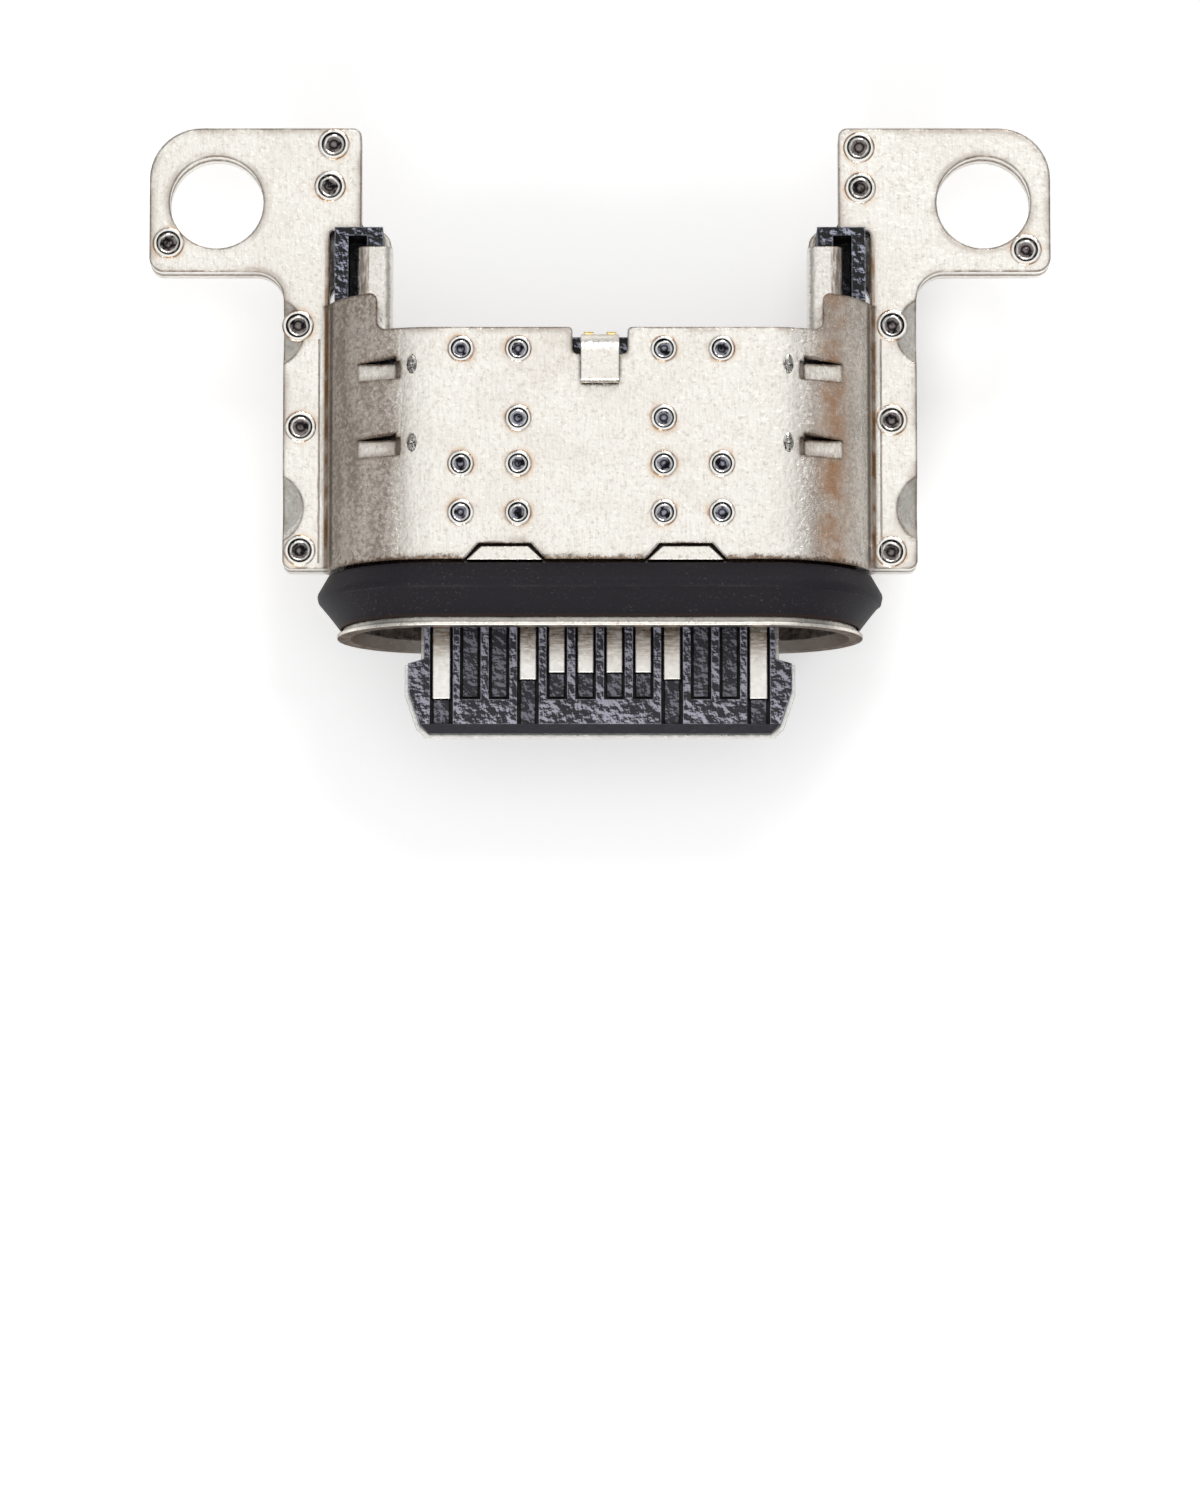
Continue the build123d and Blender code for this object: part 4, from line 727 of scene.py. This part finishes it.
# Blisters that the lancing tool left at the inner ends of the lances
blister = {
    "marks": [("upper", 3.25, 4.53), ("upper", 3.25, 3.16), ("lower", 2.74, 3.10)],
    "radius": 0.105, "cut": 0.35, "height": 0.036, "sunk": 0.010, "arcX": 2.89, "hat": 1.89, "stretch": 1.9,
    "look": {
        "colour": (0.90, 0.87, 0.82, 1), "warm": (0.62, 0.53, 0.43, 1), "grain": 0.002, "reach": 0.004,
        "streaks": 0.2, "speckle": 0.4, "creviceShade": 0.005, "rim": 0.0,
    },
}
blisterMetal = metalMaterial("Blister steel", **blister["look"])
cutHeight = blister["radius"] * blister["cut"]
squash = blister["height"] / blister["radius"] / (1 - blister["cut"])
for side, markX, markY in blister["marks"]:
    for hand in (-1, 1):
        lean = math.asin(max(markX - blister["arcX"], 0.0) / blister["hat"])
        face = 1 if side == "upper" else -1
        centre = Vector((hand * markX, markY, face * blister["hat"] * math.cos(lean))) * mm
        bpy.ops.object.select_all(action="DESELECT")
        bpy.ops.mesh.primitive_uv_sphere_add(
            segments=24, ring_count=16, radius=blister["radius"] * mm, location=(0, 0, 0))
        piece = startPiece(f"{side}_blister_{int(markY * 10)}_{'right' if hand > 0 else 'left'}")
        bpy.ops.mesh.bisect(
            plane_co=(0, 0, cutHeight * mm), plane_no=(0, 0, 1), clear_inner=True, use_fill=True)
        bpy.ops.mesh.select_all(action="SELECT")
        bpy.ops.transform.resize(value=(1, blister["stretch"], squash), center_override=(0, 0, 0))
        bpy.ops.transform.translate(value=(0, 0, -(cutHeight * squash + blister["sunk"]) * mm))
        bpy.ops.transform.rotate(value=math.pi if face < 0 else 0.0, orient_axis="X", center_override=(0, 0, 0))
        bpy.ops.transform.rotate(value=-hand * face * lean, orient_axis="Y", center_override=(0, 0, 0))
        bpy.ops.transform.translate(value=centre)
        closePiece(piece, blisterMetal, 60)
print("blisters set")

# Melt under the two rail welds that overhang the pressed lugs
melt = {"welds": [3, 9], "top": 0.24, "floor": 0.08, "radius": 0.215, "foot": 0.24}
for index in melt["welds"]:
    weldX, weldY = cover["railWelds"][index]
    middle = (melt["top"] + melt["floor"]) / 2
    bpy.ops.object.select_all(action="DESELECT")
    bpy.ops.mesh.primitive_cylinder_add(
        vertices=24, radius=melt["foot"] * mm, depth=(melt["top"] - melt["floor"]) * mm,
        location=(weldX * mm, weldY * mm, middle * mm))
    piece = startPiece(f"rail_melt_{'right' if weldX > 0 else 'left'}")
    selectVertices(piece, lambda place: place.z > middle)
    factor = melt["radius"] / melt["foot"]
    bpy.ops.transform.resize(value=(factor, factor, 1), center_override=(weldX * mm, weldY * mm, 0))
    closePiece(piece, blisterMetal, 60)
print("melt set")

# Rolled burrs along the inner edges of the rails
burr = {
    "x": 4.895, "front": 1.30, "rear": 5.25, "width": 0.034, "sunk": 0.004, "parts": 28, "shake": 0.004, "seed": 3,
}
for hand in (-1, 1):
    bpy.ops.object.select_all(action="DESELECT")
    middle = (burr["front"] + burr["rear"]) / 2
    bpy.ops.mesh.primitive_cylinder_add(
        vertices=10, radius=burr["width"] / 2 * mm, depth=(burr["rear"] - burr["front"]) * mm,
        location=(hand * burr["x"] * mm, middle * mm, railTop - burr["sunk"] * mm), rotation=(math.pi / 2, 0, 0))
    piece = startPiece(f"rail_burr_{'right' if hand > 0 else 'left'}")
    for part in range(1, burr["parts"]):
        cut = burr["front"] + (burr["rear"] - burr["front"]) * part / burr["parts"]
        bpy.ops.mesh.select_all(action="SELECT")
        bpy.ops.mesh.bisect(plane_co=(0, cut * mm, 0), plane_no=(0, 1, 0))
    bpy.ops.mesh.select_all(action="SELECT")
    bpy.ops.transform.vertex_random(offset=burr["shake"] * mm, seed=burr["seed"] + hand)
    closePiece(piece, burrMetal, 60)
print("burrs set")

# Parting line of the rubber, just ahead of the crest of the ring
parting = {"arcX": 2.89, "radius": 1.990, "y": 0.615, "thick": 0.016, "sides": 48}
bpy.ops.object.select_all(action="DESELECT")
bpy.ops.mesh.primitive_torus_add(
    major_segments=2 * parting["sides"], minor_segments=8, major_radius=parting["radius"] * mm,
    minor_radius=parting["thick"] * mm, location=(0, parting["y"] * mm, 0), rotation=(math.pi / 2, 0, 0))
piece = startPiece("seal_parting_line")
for hand in (-1, 1):
    bpy.ops.mesh.select_all(action="SELECT")
    bpy.ops.mesh.bisect(plane_co=(hand * 0.001 * mm, 0, 0), plane_no=(1, 0, 0))
for hand in (-1, 1):
    selectVertices(piece, lambda place: place.x * hand > 0.0005)
    bpy.ops.transform.translate(value=(hand * parting["arcX"] * mm, 0, 0))
closePiece(piece, sealMaterial, 60)
print("parting line set")

# Flux left between the tails, behind the comb and on its sill
flux = {
    "rows": [(4.84, -0.672, 0.055), (5.03, -0.668, 0.048)], "shake": 0.012, "seed": 11,
    "squash": 0.55, "long": 1.5, "spread": 0.35,
    "white": (0.60, 0.60, 0.66, 1), "amber": (0.10, 0.085, 0.075, 1), "grainDepth": 0.012,
    "tailX": [3.48, 3.00, 2.27, 1.82, 1.40, 1.00, 0.60, 0.20,
              -0.20, -0.60, -1.00, -1.40, -1.82, -2.27, -3.00, -3.48],
}
fluxMaterial, tree, skin = newMaterial("Flux residue")
where = millimetres(tree)
cloudy = noise(tree, where, 14.0, 3.0, 0.6)
feed(tree, skin.inputs["Base Color"], tint(tree, spread(tree, cloudy, 0.42, 0.6), flux["white"], flux["amber"]))
feed(tree, skin.inputs["Roughness"], spread(tree, cloudy, 0.3, 0.7, 0.10, 0.35))
feed(tree, skin.inputs["Normal"], bump(tree, cloudy, 1.0, flux["grainDepth"]))
gaps = list(zip(flux["tailX"], flux["tailX"][1:]))
for row, (rowY, rowZ, size) in enumerate(flux["rows"]):
    for gap, (first, second) in enumerate(gaps):
        place = Vector(((first + second) / 2, rowY, rowZ)) * mm
        bpy.ops.object.select_all(action="DESELECT")
        bpy.ops.mesh.primitive_ico_sphere_add(subdivisions=3, radius=size * mm, location=place)
        piece = startPiece(f"flux_{row + 1}_{gap + 1:02d}")
        wide = 1.0 + flux["spread"] * ((gap * 7) % 3 - 1)
        bpy.ops.transform.resize(value=(wide, flux["long"], flux["squash"]), center_override=place)
        bpy.ops.transform.vertex_random(offset=flux["shake"] * mm, seed=flux["seed"] + gap + 20 * row)
        bpy.ops.mesh.vertices_smooth(factor=0.5, repeat=2)
        closePiece(piece, fluxMaterial, 80)
print("flux set")

# Floor, light and camera
stage = {
    "floorSize": 2.0, "floorDrop": 0.02, "floorColour": (0.80, 0.80, 0.80, 1), "floorGlow": 0.37,
    "lens": 200.0, "sensor": 36.0, "elevation": 80.0, "aimY": 3.663,
    "pixelsPerMm": 57.3, "longSide": 1500, "rise": 318,
    "worldStops": [(0.01, 1.22), (0.043, 0.95), (0.10, 0.64), (0.20, 0.42), (0.35, 0.30), (0.50, 0.30),
                   (0.65, 0.36), (0.80, 0.44), (0.90, 0.62), (0.957, 0.92), (0.99, 1.21)],
}
bpy.ops.object.select_all(action="DESELECT")
bpy.ops.mesh.primitive_plane_add(size=stage["floorSize"], location=(0, 0, cadLow.z - stage["floorDrop"] * mm))
floor = bpy.context.object
floor.name = "floor"
floorMaterial, tree, skin = newMaterial("White floor")
tree.nodes.remove(skin)
output = tree.nodes["Material Output"]
paint = addNode(tree, "ShaderNodeBsdfDiffuse")
paint.inputs["Color"].default_value = stage["floorColour"]
glow = addNode(tree, "ShaderNodeEmission")
ray = addNode(tree, "ShaderNodeLightPath")
seen = calc(tree, "MAXIMUM", ray.outputs["Is Camera Ray"], ray.outputs["Is Glossy Ray"])
seen = calc(tree, "MAXIMUM", seen, ray.outputs["Is Transmission Ray"])
feed(tree, glow.inputs["Strength"], calc(tree, "MULTIPLY", seen, stage["floorGlow"]))
both = addNode(tree, "ShaderNodeAddShader")
feed(tree, both.inputs[0], paint.outputs[0])
feed(tree, both.inputs[1], glow.outputs[0])
clear = addNode(tree, "ShaderNodeBsdfTransparent")
turned = addNode(tree, "ShaderNodeNewGeometry")
chosen = addNode(tree, "ShaderNodeMixShader")
feed(tree, chosen.inputs[0], turned.outputs["Backfacing"])
feed(tree, chosen.inputs[1], both.outputs[0])
feed(tree, chosen.inputs[2], clear.outputs[0])
feed(tree, output.inputs[0], chosen.outputs[0])
floor.data.materials.append(floorMaterial)

world = bpy.data.worlds.new("Soft dome")
bpy.context.scene.world = world
world.use_nodes = True
tree = world.node_tree
sky = addNode(tree, "ShaderNodeTexCoord")
upward = axes(tree, sky.outputs["Generated"])[2]
ramp = addNode(tree, "ShaderNodeValToRGB")
ramp.color_ramp.interpolation = "CARDINAL"
while len(ramp.color_ramp.elements) < len(stage["worldStops"]):
    ramp.color_ramp.elements.new(0.5)
for element, (position, grey) in zip(ramp.color_ramp.elements, stage["worldStops"]):
    element.position = position
    element.color = (grey, grey, grey, 1)
feed(tree, ramp.inputs[0], calc(tree, "MULTIPLY_ADD", upward, 0.5, 0.5))
feed(tree, tree.nodes["Background"].inputs["Color"], ramp.outputs[0])

lamps = {
    "front_lamp": {"place": (-0.04, -0.25, 0.25), "size": 0.12, "power": 0.36},
    "rear_lamp": {"place": (0.06, 0.26, 0.24), "size": 0.12, "power": 0.36},
}
for name, values in lamps.items():
    bpy.ops.object.light_add(type="AREA", location=values["place"])
    lamp = bpy.context.object
    lamp.name = name
    lamp.data.size = values["size"]
    lamp.data.energy = values["power"]
    lamp.rotation_euler = (-Vector(values["place"])).to_track_quat("-Z", "Y").to_euler()

tilt = math.radians(stage["elevation"])
depth = stage["lens"] / stage["sensor"] * stage["longSide"] / stage["pixelsPerMm"] * mm
drop = math.atan(stage["rise"] / stage["pixelsPerMm"] * mm / depth)
aim = Vector((0, stage["aimY"] * mm, 0))
place = aim + Vector((0, -math.cos(tilt), math.sin(tilt))) * depth / math.cos(drop)
bpy.ops.object.camera_add(location=place, rotation=(math.pi / 2 - tilt - drop, 0, 0))
camera = bpy.context.object
camera.data.lens = stage["lens"]
camera.data.sensor_width = stage["sensor"]
camera.data.clip_start = 1 * mm
bpy.context.scene.camera = camera
bpy.context.scene.view_settings.view_transform = "Standard"
print("stage set")
